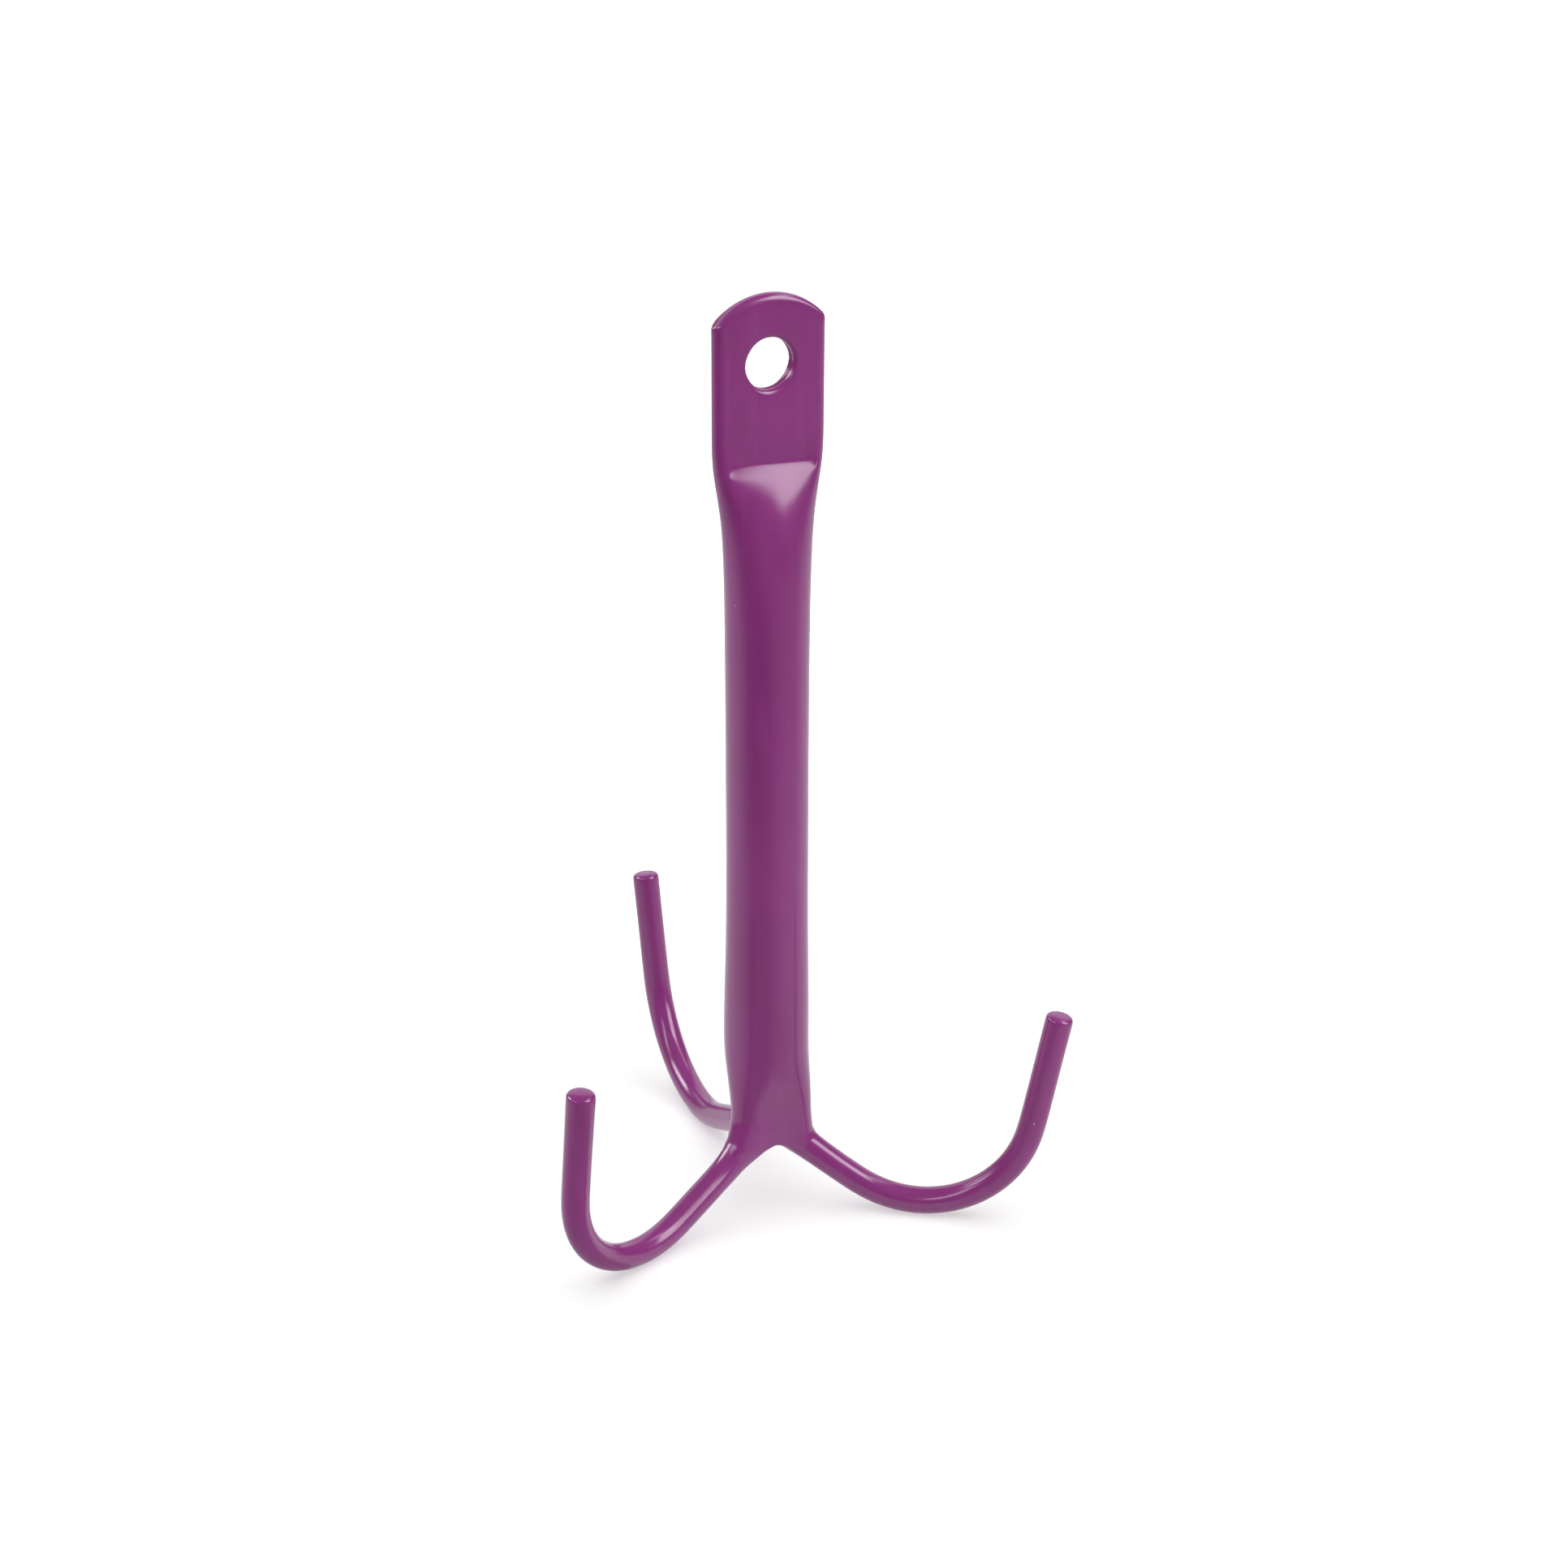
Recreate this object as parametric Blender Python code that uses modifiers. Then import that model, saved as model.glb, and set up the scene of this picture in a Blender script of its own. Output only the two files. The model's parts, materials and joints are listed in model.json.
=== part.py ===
"""Three-pronged tack cleaning hook: a steel tube, three bent steel rods and a dipped plastic coat.

The tube is flattened at the top, arched and punched for hanging, and crimped at the foot round
the shanks of the three rods. The coat is one film over all of it, open only at the seam inside
the hanging hole. Metres, +Z up, flat of the tab facing -Y, standing on the three hooks at Z = 0.
"""

import math
from dataclasses import dataclass

import bmesh
import bpy
from mathutils import Vector

# Steel tube
TUBE_DIAMETER = 0.0180
TUBE_WALL = 0.0012
TUBE_LENGTH = 0.2106
TUBE_FOOT_HEIGHT = 0.0223

# Flattened hanging end
FLAT_LENGTH = 0.0403
FLARE_LENGTH = 0.0124
FLARE_ROUNDING = 0.0072
TAB_SEAM = 0.0003
END_ARCH_RISE = 0.0058
HOLE_DIAMETER = 0.0142
HOLE_FROM_END = 0.0152

# Crimp round the rods
CRIMP_LENGTH = 0.0050
CRIMP_EASE = 0.0170
CRIMP_TURN = math.radians(-7)

# Steel rods
ROD_DIAMETER = 0.0050
SHANK_LENGTH = 0.0400
KNEE_RADIUS = 0.0060

# Dipped coat
COAT = 0.0008
WEB_DEPTH = 0.0030
WEB_REACH = 0.0060

# Clearance between pieces that touch
CLEARANCE = 0.0003

# Facets
WALL_SIDES = 36
FOLD_BUNCHING = 0.7
EASE_STEPS = 5
FLARE_STEPS = 10
FLARE_FADES = 4
WEB_SIDES = 3
ROD_BEVEL = 4
KNEE_STEPS = 4
BEND_STEPS = 12
LIP_STEPS = 3
HOLE_SIDES = 32


@dataclass(frozen=True)
class Hook:
    """One bent rod: where it points, how it falls to its bend, and how it rises to its tip."""

    name: str
    azimuth: float
    swing: float
    slope: float
    bend_radius: float
    rise: float
    tip_length: float
    lean: float


HOOKS = (
    Hook(
        name="left_hook_rod",
        azimuth=math.radians(-150),
        swing=math.radians(-1.7),
        slope=math.radians(26),
        bend_radius=0.0263,
        rise=math.radians(90),
        tip_length=0.0272,
        lean=math.radians(5.4),
    ),
    Hook(
        name="right_hook_rod",
        azimuth=math.radians(-30),
        swing=math.radians(-0.6),
        slope=math.radians(33),
        bend_radius=0.0290,
        rise=math.radians(79),
        tip_length=0.0293,
        lean=math.radians(2.0),
    ),
    Hook(
        name="rear_hook_rod",
        azimuth=math.radians(90),
        swing=math.radians(2.3),
        slope=math.radians(23),
        bend_radius=0.0295,
        rise=math.radians(82),
        tip_length=0.0264,
        lean=math.radians(2.3),
    ),
)

# Sizes that follow
ON_WALL = TUBE_WALL / 2
ON_COAT = ON_WALL + COAT
MID_RADIUS = TUBE_DIAMETER / 2 - ON_WALL
WALL_LENGTH = 2 * math.pi * MID_RADIUS
ROD_RADIUS = ROD_DIAMETER / 2
COATED_ROD = ROD_RADIUS + COAT
FOLD_RADIUS = ON_WALL + TAB_SEAM / 2
FOLD_REACH = (WALL_LENGTH - 2 * math.pi * FOLD_RADIUS) / 4
SEAT_RADIUS = ROD_RADIUS + CLEARANCE + ON_WALL
SEAT_REACH = (WALL_LENGTH - 2 * math.pi * SEAT_RADIUS) / (3 * math.sqrt(3))
BUNDLE_REACH = (ROD_DIAMETER + CLEARANCE) / math.sqrt(3)
SHANK_HEADING = math.atan2(-SHANK_LENGTH, SEAT_REACH - BUNDLE_REACH)
TUBE_TOP = TUBE_FOOT_HEIGHT + TUBE_LENGTH
FLAT_FOOT = TUBE_TOP - FLAT_LENGTH
FLARE_FOOT = FLAT_FOOT - FLARE_FADES * FLARE_LENGTH
CRIMP_TOP = TUBE_FOOT_HEIGHT + CRIMP_LENGTH
ROUND_FOOT = CRIMP_TOP + CRIMP_EASE
STEM_MIDDLE = (ROUND_FOOT + FLARE_FOOT) / 2
HOLE_HEIGHT = TUBE_TOP - HOLE_FROM_END
TAB_HALF_WIDTH = FOLD_REACH + FOLD_RADIUS + ON_WALL
END_ARCH_RADIUS = (TAB_HALF_WIDTH**2 + END_ARCH_RISE**2) / (2 * END_ARCH_RISE)
KNEE_TOP = TUBE_FOOT_HEIGHT - COAT


def level(angle):
    """Level unit vector at an angle about Z."""
    return Vector((math.cos(angle), math.sin(angle), 0))


def heading(angle):
    """Unit vector (out, up) at an angle above the level."""
    return Vector((math.cos(angle), math.sin(angle)))


def eased(value):
    """Zero below 0, one above 1, smooth between."""
    value = min(max(value, 0), 1)
    return value * value * (3 - 2 * value)


def flatness(height):
    """How far the tube is pressed flat at a height: one on the tab, fading down the flare."""
    below = FLAT_FOOT - height
    rounding = min(max(below + FLARE_ROUNDING, 0), 2 * FLARE_ROUNDING)
    fall = rounding**2 / (4 * FLARE_ROUNDING) + max(below - FLARE_ROUNDING, 0)
    return math.exp(-fall / FLARE_LENGTH)


def crimped(height):
    """How far the tube is pressed to three corners at a height: one at the foot."""
    return 1 - eased((height - CRIMP_TOP) / CRIMP_EASE)


def crimp_angle(azimuth):
    """Turns an angle of the hooks' own star to an angle about Z."""
    return azimuth + CRIMP_TURN


def pressed(angle, offset, corners, first, reach, radius):
    """A point of the wall pressed onto round corners, its length round the tube unchanged."""
    pitch = 2 * math.pi / corners
    corner = first + pitch * round((angle - first) / pitch)
    length = MID_RADIUS * (angle - corner)
    half_arc = radius * pitch / 2
    on_arc = min(max(length, -half_arc), half_arc)
    facing = corner + on_arc / radius
    along = level(facing + math.pi / 2) * (length - on_arc)
    return level(corner) * reach + level(facing) * (radius + offset) + along


def wall_point(angle, height, offset):
    """A point of the tube at an angle and height, this far outside the middle of its wall."""
    if height > STEM_MIDDLE:
        share = flatness(height)
        radius = MID_RADIUS + (FOLD_RADIUS - MID_RADIUS) * share
        return pressed(angle, offset, 2, 0, FOLD_REACH * share, radius)
    share = crimped(height)
    radius = MID_RADIUS + (SEAT_RADIUS - MID_RADIUS) * share
    first = crimp_angle(HOOKS[0].azimuth)
    return pressed(angle, offset, len(HOOKS), first, SEAT_REACH * share, radius)


def ring_angles(height):
    """Angles of a ring's points: bunched at the tab's folds, even from corner to corner below."""
    pitch = 2 * math.pi / WALL_SIDES
    corner = crimp_angle(HOOKS[0].azimuth)
    shift = corner - pitch * round(corner / pitch)
    share = eased((height - FLARE_FOOT) / (FLAT_FOOT - FLARE_FOOT))
    angles = []
    for index in range(WALL_SIDES):
        even = index * pitch
        bunched = even - FOLD_BUNCHING * math.sin(2 * even) / 2
        angles.append(bunched * share + (even + shift) * (1 - share))
    return angles


def arch_height(across, lift):
    """Height of the tab's arched end at a distance from its middle."""
    return TUBE_TOP - END_ARCH_RADIUS + math.sqrt((END_ARCH_RADIUS + lift) ** 2 - across**2)


def wall_ring(height, offset, lift=0.0):
    """The points of one ring, level below the tab and bending up to its arched end."""
    points = [wall_point(angle, height, offset) for angle in ring_angles(height)]
    share = max(0, (height - FLAT_FOOT) / FLAT_LENGTH)
    for point in points:
        point.z = height + (arch_height(point.x, lift) - TUBE_TOP) * share
    return points


def stations(foot):
    """Heights of the rings from the foot up, closer where the section changes."""
    ease = [CRIMP_TOP + CRIMP_EASE * step / EASE_STEPS for step in range(EASE_STEPS + 1)]
    flare_height = FLAT_FOOT - FLARE_FOOT
    flare = [FLARE_FOOT + flare_height * step / FLARE_STEPS for step in range(FLARE_STEPS + 1)]
    tab = [FLAT_FOOT + FLARE_ROUNDING / 2, FLAT_FOOT + FLARE_ROUNDING, TUBE_TOP]
    return [foot] + ease + [STEM_MIDDLE] + flare + tab


def ring_of(bm, points):
    """Adds the points to the mesh and returns their vertices."""
    return [bm.verts.new(point) for point in points]


def skin(bm, near, far):
    """Joins two rings of the same length with quads."""
    for index, vert in enumerate(near):
        after = (index + 1) % len(near)
        bm.faces.new((vert, near[after], far[after], far[index]))


def close_arch(bm, ring):
    """Closes the arched end with a strip across its thickness."""
    half = len(ring) // 2
    bm.faces.new((ring[0], ring[1], ring[-1]))
    bm.faces.new((ring[half - 1], ring[half], ring[half + 1]))
    for index in range(1, half - 1):
        bm.faces.new((ring[index], ring[index + 1], ring[-index - 1], ring[-index]))


def loft_wall(bm, offset, foot):
    """Lofts one surface of the stem from its foot to the arched end, and returns its rings."""
    rings = [ring_of(bm, wall_ring(height, offset)) for height in stations(foot)]
    for lower, upper in zip(rings, rings[1:]):
        skin(bm, lower, upper)
    return rings


def finish(mesh, material=None):
    """Shades a mesh smooth up to its sharp edges and gives it its material."""
    mesh.shade_smooth()
    mesh.set_sharp_from_angle(angle=math.radians(40))
    if material:
        mesh.materials.append(material)


def object_from(bm, name, collection):
    """Turns the mesh into a named object with its faces pointing out."""
    bmesh.ops.recalc_face_normals(bm, faces=bm.faces)
    mesh = bpy.data.meshes.new(name)
    bm.to_mesh(mesh)
    bm.free()
    obj = bpy.data.objects.new(name, mesh)
    collection.objects.link(obj)
    return obj


def arc_points(centre, radius, start, end, steps):
    """Points (out, up) of a bend that turns upwards from one heading to another."""
    angles = [start + (end - start) * step / steps for step in range(steps + 1)]
    return [centre + Vector((math.sin(angle), -math.cos(angle))) * radius for angle in angles]


def knee_profile(hook):
    """Bend out from the crimp, as (distance from the stem's axis, height)."""
    aside = Vector((-math.sin(SHANK_HEADING), math.cos(SHANK_HEADING)))
    centre = Vector((SEAT_REACH, KNEE_TOP)) + aside * KNEE_RADIUS
    return arc_points(centre, KNEE_RADIUS, SHANK_HEADING, -hook.slope, KNEE_STEPS)


def hook_profile(hook):
    """Bend that stands on the floor, where the rod's sloping run meets it, and the rising tip."""
    knee = knee_profile(hook)[-1]
    centre_up = COATED_ROD + hook.bend_radius
    bend_top = centre_up - hook.bend_radius * math.cos(hook.slope)
    run = (knee.y - bend_top) / math.tan(hook.slope)
    centre = Vector((knee.x + run + hook.bend_radius * math.sin(hook.slope), centre_up))
    bend = arc_points(centre, hook.bend_radius, -hook.slope, hook.rise, BEND_STEPS)
    return bend + [bend[-1] + heading(hook.rise) * hook.tip_length]


def rod_profile(hook):
    """Centre line of a whole rod in its own plane, from the top of its shank to its tip."""
    knee = knee_profile(hook)
    return [knee[0] - heading(SHANK_HEADING) * SHANK_LENGTH] + knee + hook_profile(hook)


def arm_profile(hook):
    """Centre line of the coat on a rod: the knee, the end of its web, the hook and the tip."""
    knee = knee_profile(hook)
    web_end = knee[-1] + heading(-hook.slope) * WEB_REACH
    return knee + [web_end] + hook_profile(hook)


def in_space(hook, flat):
    """Places a point of the profile in space, with the rod's small swing and sideways lean."""
    corner = level(crimp_angle(hook.azimuth)) * SEAT_REACH
    facing = crimp_angle(hook.azimuth) + hook.swing
    out = flat.x - SEAT_REACH
    free = eased(out / (KNEE_RADIUS + 2 * WEB_REACH))
    aside = math.sin(hook.lean) * (flat.y - KNEE_TOP) * free
    placed = corner + level(facing) * out + level(facing + math.pi / 2) * aside
    placed.z = flat.y
    return placed


def rod_curve(hook, radius, name, collection, extend=0.0):
    """A rod as a round curve along its centre line, drawn out at both ends if asked."""
    points = [in_space(hook, flat) for flat in rod_profile(hook)]
    points[0] += (points[0] - points[1]).normalized() * extend
    points[-1] += (points[-1] - points[-2]).normalized() * extend
    curve = bpy.data.curves.new(name, "CURVE")
    curve.dimensions = "3D"
    curve.bevel_depth = radius
    curve.bevel_resolution = ROD_BEVEL
    curve.use_fill_caps = True
    spline = curve.splines.new("POLY")
    spline.points.add(len(points) - 1)
    for target, point in zip(spline.points, points):
        target.co = (*point, 1)
    obj = bpy.data.objects.new(name, curve)
    collection.objects.link(obj)
    return obj


def as_mesh(obj):
    """Replaces a curve object with the closed mesh that it evaluates to."""
    bpy.context.view_layer.update()
    graph = bpy.context.evaluated_depsgraph_get()
    mesh = bpy.data.meshes.new_from_object(obj.evaluated_get(graph))
    bm = bmesh.new()
    bm.from_mesh(mesh)
    bmesh.ops.remove_doubles(bm, verts=bm.verts, dist=1e-6)
    bmesh.ops.recalc_face_normals(bm, faces=bm.faces)
    bm.to_mesh(mesh)
    bm.free()
    name, place, homes = obj.name, obj.matrix_world.copy(), obj.users_collection
    bpy.data.objects.remove(obj)
    solid = bpy.data.objects.new(name, mesh)
    solid.matrix_world = place
    for collection in homes:
        collection.objects.link(solid)
    return solid


def as_cutter(obj):
    """Keeps a helper out of the render."""
    obj.hide_render = True
    obj.display_type = "WIRE"
    return obj


def boolean(obj, other, operation):
    """Adds an exact Boolean of one object on another."""
    modifier = obj.modifiers.new(other.name, "BOOLEAN")
    modifier.operation = operation
    modifier.solver = "EXACT"
    modifier.object = other


def hole_cutter(name, collection, profile):
    """A turned cutter through the hanging hole, from (radius, depth) pairs back to front."""
    bm = bmesh.new()
    verts = [bm.verts.new((radius, depth, 0)) for radius, depth in profile]
    for first, second in zip(verts, verts[1:]):
        bm.edges.new((first, second))
    mesh = bpy.data.meshes.new(name)
    bm.to_mesh(mesh)
    bm.free()
    obj = bpy.data.objects.new(name, mesh)
    obj.location = (0, 0, HOLE_HEIGHT)
    obj.rotation_euler = (0, math.pi / HOLE_SIDES, 0)
    collection.objects.link(obj)
    screw = obj.modifiers.new("turn", "SCREW")
    screw.axis = "Y"
    screw.steps = HOLE_SIDES
    screw.render_steps = HOLE_SIDES
    screw.use_merge_vertices = True
    screw.merge_threshold = 1e-5
    return as_cutter(obj)


def disc_profile(radius, half_depth):
    """Profile of a plain disc, closed on its axis at both faces."""
    return [(0, half_depth), (radius, half_depth), (radius, -half_depth), (0, -half_depth)]


def lipped_profile():
    """Profile of the coated hole: narrow through the steel, with rounded lips at both faces."""
    steel = FOLD_RADIUS + ON_WALL
    mouth = HOLE_DIAMETER / 2
    back = [(0, steel + 2 * COAT), (mouth, steel + 2 * COAT)]
    for step in range(LIP_STEPS + 1):
        angle = math.pi / 2 * step / LIP_STEPS
        back.append((mouth - COAT * math.sin(angle), steel + COAT * math.cos(angle)))
    return back + [(radius, -depth) for radius, depth in back[::-1]]


def build_tube(parts, cutters, material):
    """The steel tube: one wall inside and out, joined at the foot and round the arched end."""
    bm = bmesh.new()
    outer = loft_wall(bm, ON_WALL, TUBE_FOOT_HEIGHT)
    inner = loft_wall(bm, -ON_WALL, TUBE_FOOT_HEIGHT)
    skin(bm, inner[0], outer[0])
    skin(bm, outer[-1], inner[-1])
    tube = object_from(bm, "stem_tube", parts)
    finish(tube.data, material)
    drill = hole_cutter("steel_hole", cutters, disc_profile(HOLE_DIAMETER / 2, TUBE_DIAMETER))
    boolean(tube, drill, "DIFFERENCE")


def build_rods(parts, material):
    """The three steel rods, each bent from one straight length."""
    for hook in HOOKS:
        rod = as_mesh(rod_curve(hook, ROD_RADIUS, hook.name, parts))
        finish(rod.data, material)


def loft_stem_skin(bm):
    """The coat's outer face on the stem, closed over the arched end, and its lowest ring."""
    rings = loft_wall(bm, ON_COAT, KNEE_TOP)
    for step in range(1, LIP_STEPS + 1):
        angle = math.pi / 2 * step / LIP_STEPS
        offset = ON_WALL + COAT * math.cos(angle)
        rings.append(ring_of(bm, wall_ring(TUBE_TOP, offset, COAT * math.sin(angle))))
        skin(bm, rings[-2], rings[-1])
    close_arch(bm, rings[-1])
    return rings[0]


def web_points(valley):
    """Points under the stem between two rods, from its wall in to the middle."""
    wall = wall_point(valley, KNEE_TOP, ON_COAT)
    depth = KNEE_TOP - (TUBE_FOOT_HEIGHT - COAT - WEB_DEPTH)
    points = []
    for step in range(1, WEB_SIDES):
        angle = math.pi / 2 * step / WEB_SIDES
        points.append(wall * math.cos(angle) + Vector((0, 0, KNEE_TOP - depth * math.sin(angle))))
    return points


def axes_along(points, side):
    """Up, side and ahead at each point of a line that runs nearly square to the side."""
    axes = []
    for index in range(len(points)):
        before, after = points[max(index - 1, 0)], points[min(index + 1, len(points) - 1)]
        ahead = (after - before).normalized()
        up = ahead.cross(side).normalized()
        axes.append((up, up.cross(ahead), ahead))
    return axes


def ring_on(centre, axes, local_points):
    """Places a ring's local points (up, side, ahead) round a point of the rod."""
    up, side, ahead = axes
    return [centre + up * point.x + side * point.y + ahead * point.z for point in local_points]


def loft_arm(bm, hook, edge):
    """The coat along one rod: its edge on the hub gathers to a round, which ends in a soft tip."""
    line = [in_space(hook, flat) for flat in arm_profile(hook)]
    side = level(crimp_angle(hook.azimuth) + hook.swing + math.pi / 2)
    axes = axes_along(line, side)
    up, side, ahead = axes[0]
    gathered = [vert.co - line[0] for vert in edge]
    hub = [Vector((gap.dot(up), gap.dot(side), gap.dot(ahead))) for gap in gathered]
    middle = WALL_SIDES / len(HOOKS) / 2
    turns = [2 * math.pi * (index - middle) / len(edge) for index in range(len(edge))]
    circle = [Vector((math.cos(turn), math.sin(turn), 0)) for turn in turns]
    web_end = KNEE_STEPS + 1
    lengths = [(line[index + 1] - line[index]).length for index in range(web_end)]
    rings = [edge]
    for index in range(1, len(line)):
        share = eased(sum(lengths[:index]) / sum(lengths))
        local = [
            near * (1 - share) + far * (COATED_ROD * share) for near, far in zip(hub, circle)
        ]
        rings.append(ring_of(bm, ring_on(line[index], axes[index], local)))
    for step in range(1, LIP_STEPS + 1):
        angle = math.pi / 2 * step / LIP_STEPS
        radius = COATED_ROD - COAT * (1 - math.cos(angle))
        local = [point * radius + Vector((0, 0, COAT * math.sin(angle))) for point in circle]
        rings.append(ring_of(bm, ring_on(line[-1], axes[-1], local)))
    for near, far in zip(rings, rings[1:]):
        skin(bm, near, far)
    bm.faces.new(rings[-1])


def loft_coat_skin(bm):
    """Outer face of the coat: down the stem, over the webs and out along the three rods."""
    foot = loft_stem_skin(bm)
    middle = bm.verts.new((0, 0, TUBE_FOOT_HEIGHT - COAT - WEB_DEPTH))
    third = WALL_SIDES // len(HOOKS)
    pitch = 2 * math.pi / WALL_SIDES
    half_pitch = math.pi / len(HOOKS)
    valleys = [crimp_angle(hook.azimuth) - half_pitch for hook in HOOKS]
    webs = [ring_of(bm, web_points(valley)) for valley in valleys]
    first = round((valleys[0] - ring_angles(KNEE_TOP)[0]) / pitch)
    for index, hook in enumerate(HOOKS):
        begin = first + index * third
        wall = [foot[(begin + step) % WALL_SIDES] for step in range(third + 1)]
        after = webs[(index + 1) % len(HOOKS)]
        loft_arm(bm, hook, wall + after + [middle] + webs[index][::-1])


def stem_room(cutters):
    """Room for the tube in the coat, solid inside, round the lip that lines its hole."""
    bm = bmesh.new()
    room = ON_WALL + CLEARANCE
    rings = loft_wall(bm, room, TUBE_FOOT_HEIGHT - CLEARANCE)
    rings.append(ring_of(bm, wall_ring(TUBE_TOP, room, CLEARANCE)))
    skin(bm, rings[-2], rings[-1])
    close_arch(bm, rings[-1])
    bm.faces.new(rings[0])
    tube_room = as_cutter(object_from(bm, "tube_room", cutters))
    lip = disc_profile(HOLE_DIAMETER / 2 - CLEARANCE, TUBE_DIAMETER)
    boolean(tube_room, hole_cutter("kept_lip", cutters, lip), "DIFFERENCE")
    return tube_room


def build_coat(parts, cutters, material):
    """The dipped coat: its outer face, less the steel with clearance, the hole and the seam."""
    bm = bmesh.new()
    loft_coat_skin(bm)
    coat = object_from(bm, "plastic_coat", parts)
    finish(coat.data, material)
    boolean(coat, stem_room(cutters), "DIFFERENCE")
    for hook in HOOKS:
        name = hook.name.replace("rod", "room")
        room = as_mesh(rod_curve(hook, ROD_RADIUS + CLEARANCE, name, cutters, CLEARANCE))
        boolean(coat, as_cutter(room), "DIFFERENCE")
    boolean(coat, hole_cutter("coated_hole", cutters, lipped_profile()), "DIFFERENCE")
    seam = hole_cutter("seam", cutters, disc_profile(HOLE_DIAMETER / 2, TAB_SEAM / 2))
    boolean(coat, seam, "DIFFERENCE")
    return coat


def linear(hex_colour):
    """Linear colour of an sRGB hex code, with full alpha."""
    channels = [int(hex_colour[index : index + 2], 16) / 255 for index in (1, 3, 5)]
    light = [c / 12.92 if c <= 0.04045 else ((c + 0.055) / 1.055) ** 2.4 for c in channels]
    return (*light, 1)


def plain_material(name, hex_colour, roughness, metallic):
    """A plain Principled material."""
    material = bpy.data.materials.new(name)
    material.use_nodes = True
    shader = material.node_tree.nodes["Principled BSDF"]
    shader.inputs["Base Color"].default_value = linear(hex_colour)
    shader.inputs["Roughness"].default_value = roughness
    shader.inputs["Metallic"].default_value = metallic
    material.diffuse_color = linear(hex_colour)
    return material


def stand_on_origin(parts, cutters, coat):
    """Hangs everything on one empty, set so that the coat's box is centred over the origin."""
    axis = bpy.data.objects.new("stem_axis", None)
    parts.objects.link(axis)
    for obj in [*parts.objects, *cutters.objects]:
        if obj is not axis:
            obj.parent = axis
    bpy.context.view_layer.update()
    evaluated = coat.evaluated_get(bpy.context.evaluated_depsgraph_get())
    corners = [vertex.co for vertex in evaluated.data.vertices]
    low = [min(corner[side] for corner in corners) for side in range(3)]
    high = [max(corner[side] for corner in corners) for side in range(3)]
    axis.location = (-(low[0] + high[0]) / 2, -(low[1] + high[1]) / 2, -low[2])


def main():
    """Clears the scene and builds the hook."""
    for obj in list(bpy.data.objects):
        bpy.data.objects.remove(obj)
    scene = bpy.context.scene
    scene.unit_settings.system = "METRIC"
    parts = bpy.data.collections.new("tack_cleaning_hook")
    cutters = bpy.data.collections.new("cutters")
    scene.collection.children.link(parts)
    scene.collection.children.link(cutters)
    tube_steel = plain_material("tube_steel", "#8F9295", 0.38, 1.0)
    rod_steel = plain_material("rod_steel", "#7D8084", 0.34, 1.0)
    purple = plain_material("purple_plastic", "#7E3973", 0.28, 0.0)
    build_tube(parts, cutters, tube_steel)
    build_rods(parts, rod_steel)
    coat = build_coat(parts, cutters, purple)
    stand_on_origin(parts, cutters, coat)


if __name__ == "__main__":
    main()
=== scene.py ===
"""Looks of a purple dipped tack cleaning hook: its coat, the steel inside it and a pale studio."""

import json
import logging
from collections.abc import Callable, Iterable, Sequence
from dataclasses import dataclass, field
from enum import Enum
from math import atan2, cos, degrees, exp, pi, radians, remainder, sin, sqrt, tau

import bmesh
import bpy
from bmesh.types import BMEdge, BMFace, BMVert
from bpy.types import ID, Material, Node, NodeSocket, NodeTree, Object
from mathutils import Matrix, Vector


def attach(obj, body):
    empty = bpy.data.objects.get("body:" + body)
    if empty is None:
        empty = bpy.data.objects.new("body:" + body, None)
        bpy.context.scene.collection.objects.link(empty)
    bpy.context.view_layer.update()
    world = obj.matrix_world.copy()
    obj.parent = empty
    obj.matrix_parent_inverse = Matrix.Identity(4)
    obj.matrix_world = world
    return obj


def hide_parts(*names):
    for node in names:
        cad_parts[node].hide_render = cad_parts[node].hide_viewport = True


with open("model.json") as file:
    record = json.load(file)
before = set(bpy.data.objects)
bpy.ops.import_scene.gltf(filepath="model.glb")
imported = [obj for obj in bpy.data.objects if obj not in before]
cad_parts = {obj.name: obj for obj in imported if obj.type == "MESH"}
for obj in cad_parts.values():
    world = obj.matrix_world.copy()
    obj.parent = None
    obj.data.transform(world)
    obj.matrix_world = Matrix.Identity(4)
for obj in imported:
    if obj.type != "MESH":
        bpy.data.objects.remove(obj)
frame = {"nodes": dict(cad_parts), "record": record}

LOG = logging.getLogger("tack_cleaning_hook")
MM = 0.001
UP = Vector((0, 0, 1))
WHITE = (1, 1, 1, 1)
CLOSE = 0.1 * MM
CLOSER = 0.02 * MM
CLOSEST = 0.01 * MM
DOUBLE = 0.001 * MM
DIGITS = 5
SMOOTHING_ROUNDS = 16
MIX_COLOURS = {"data_type": "RGBA"}


def level(angle: float) -> Vector:
    """Returns the level unit vector at an angle about Z."""
    return Vector((cos(angle), sin(angle), 0))


def blend(start: float, end: float, share: float) -> float:
    """Returns the value this share of the way from start to end."""
    return start + (end - start) * share


def eased(value: float) -> float:
    """Returns zero below 0, one above 1, and a smooth rise between."""
    value = min(max(value, 0.0), 1.0)
    return value * value * (3 - 2 * value)


def cage_gain(step: float) -> float:
    """Returns how far outside its round a cage stands whose points are this angle apart."""
    return 3 / (2 + cos(step))


def passing(places: Sequence[Vector]) -> list[Vector]:
    """Finds the ring of cage points whose smooth curve passes through the places.

    Args:
        places: Points that the subdivided surface is to pass through, in order round the ring.

    Returns:
        As many cage points, in the same order.
    """
    cage = [place.copy() for place in places]
    for _ in range(SMOOTHING_ROUNDS):
        for index, place in enumerate(places):
            after = cage[(index + 1) % len(cage)]
            smooth = (cage[index - 1] + 4 * cage[index] + after) / 6
            cage[index] = cage[index] + place - smooth
    return cage


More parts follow.
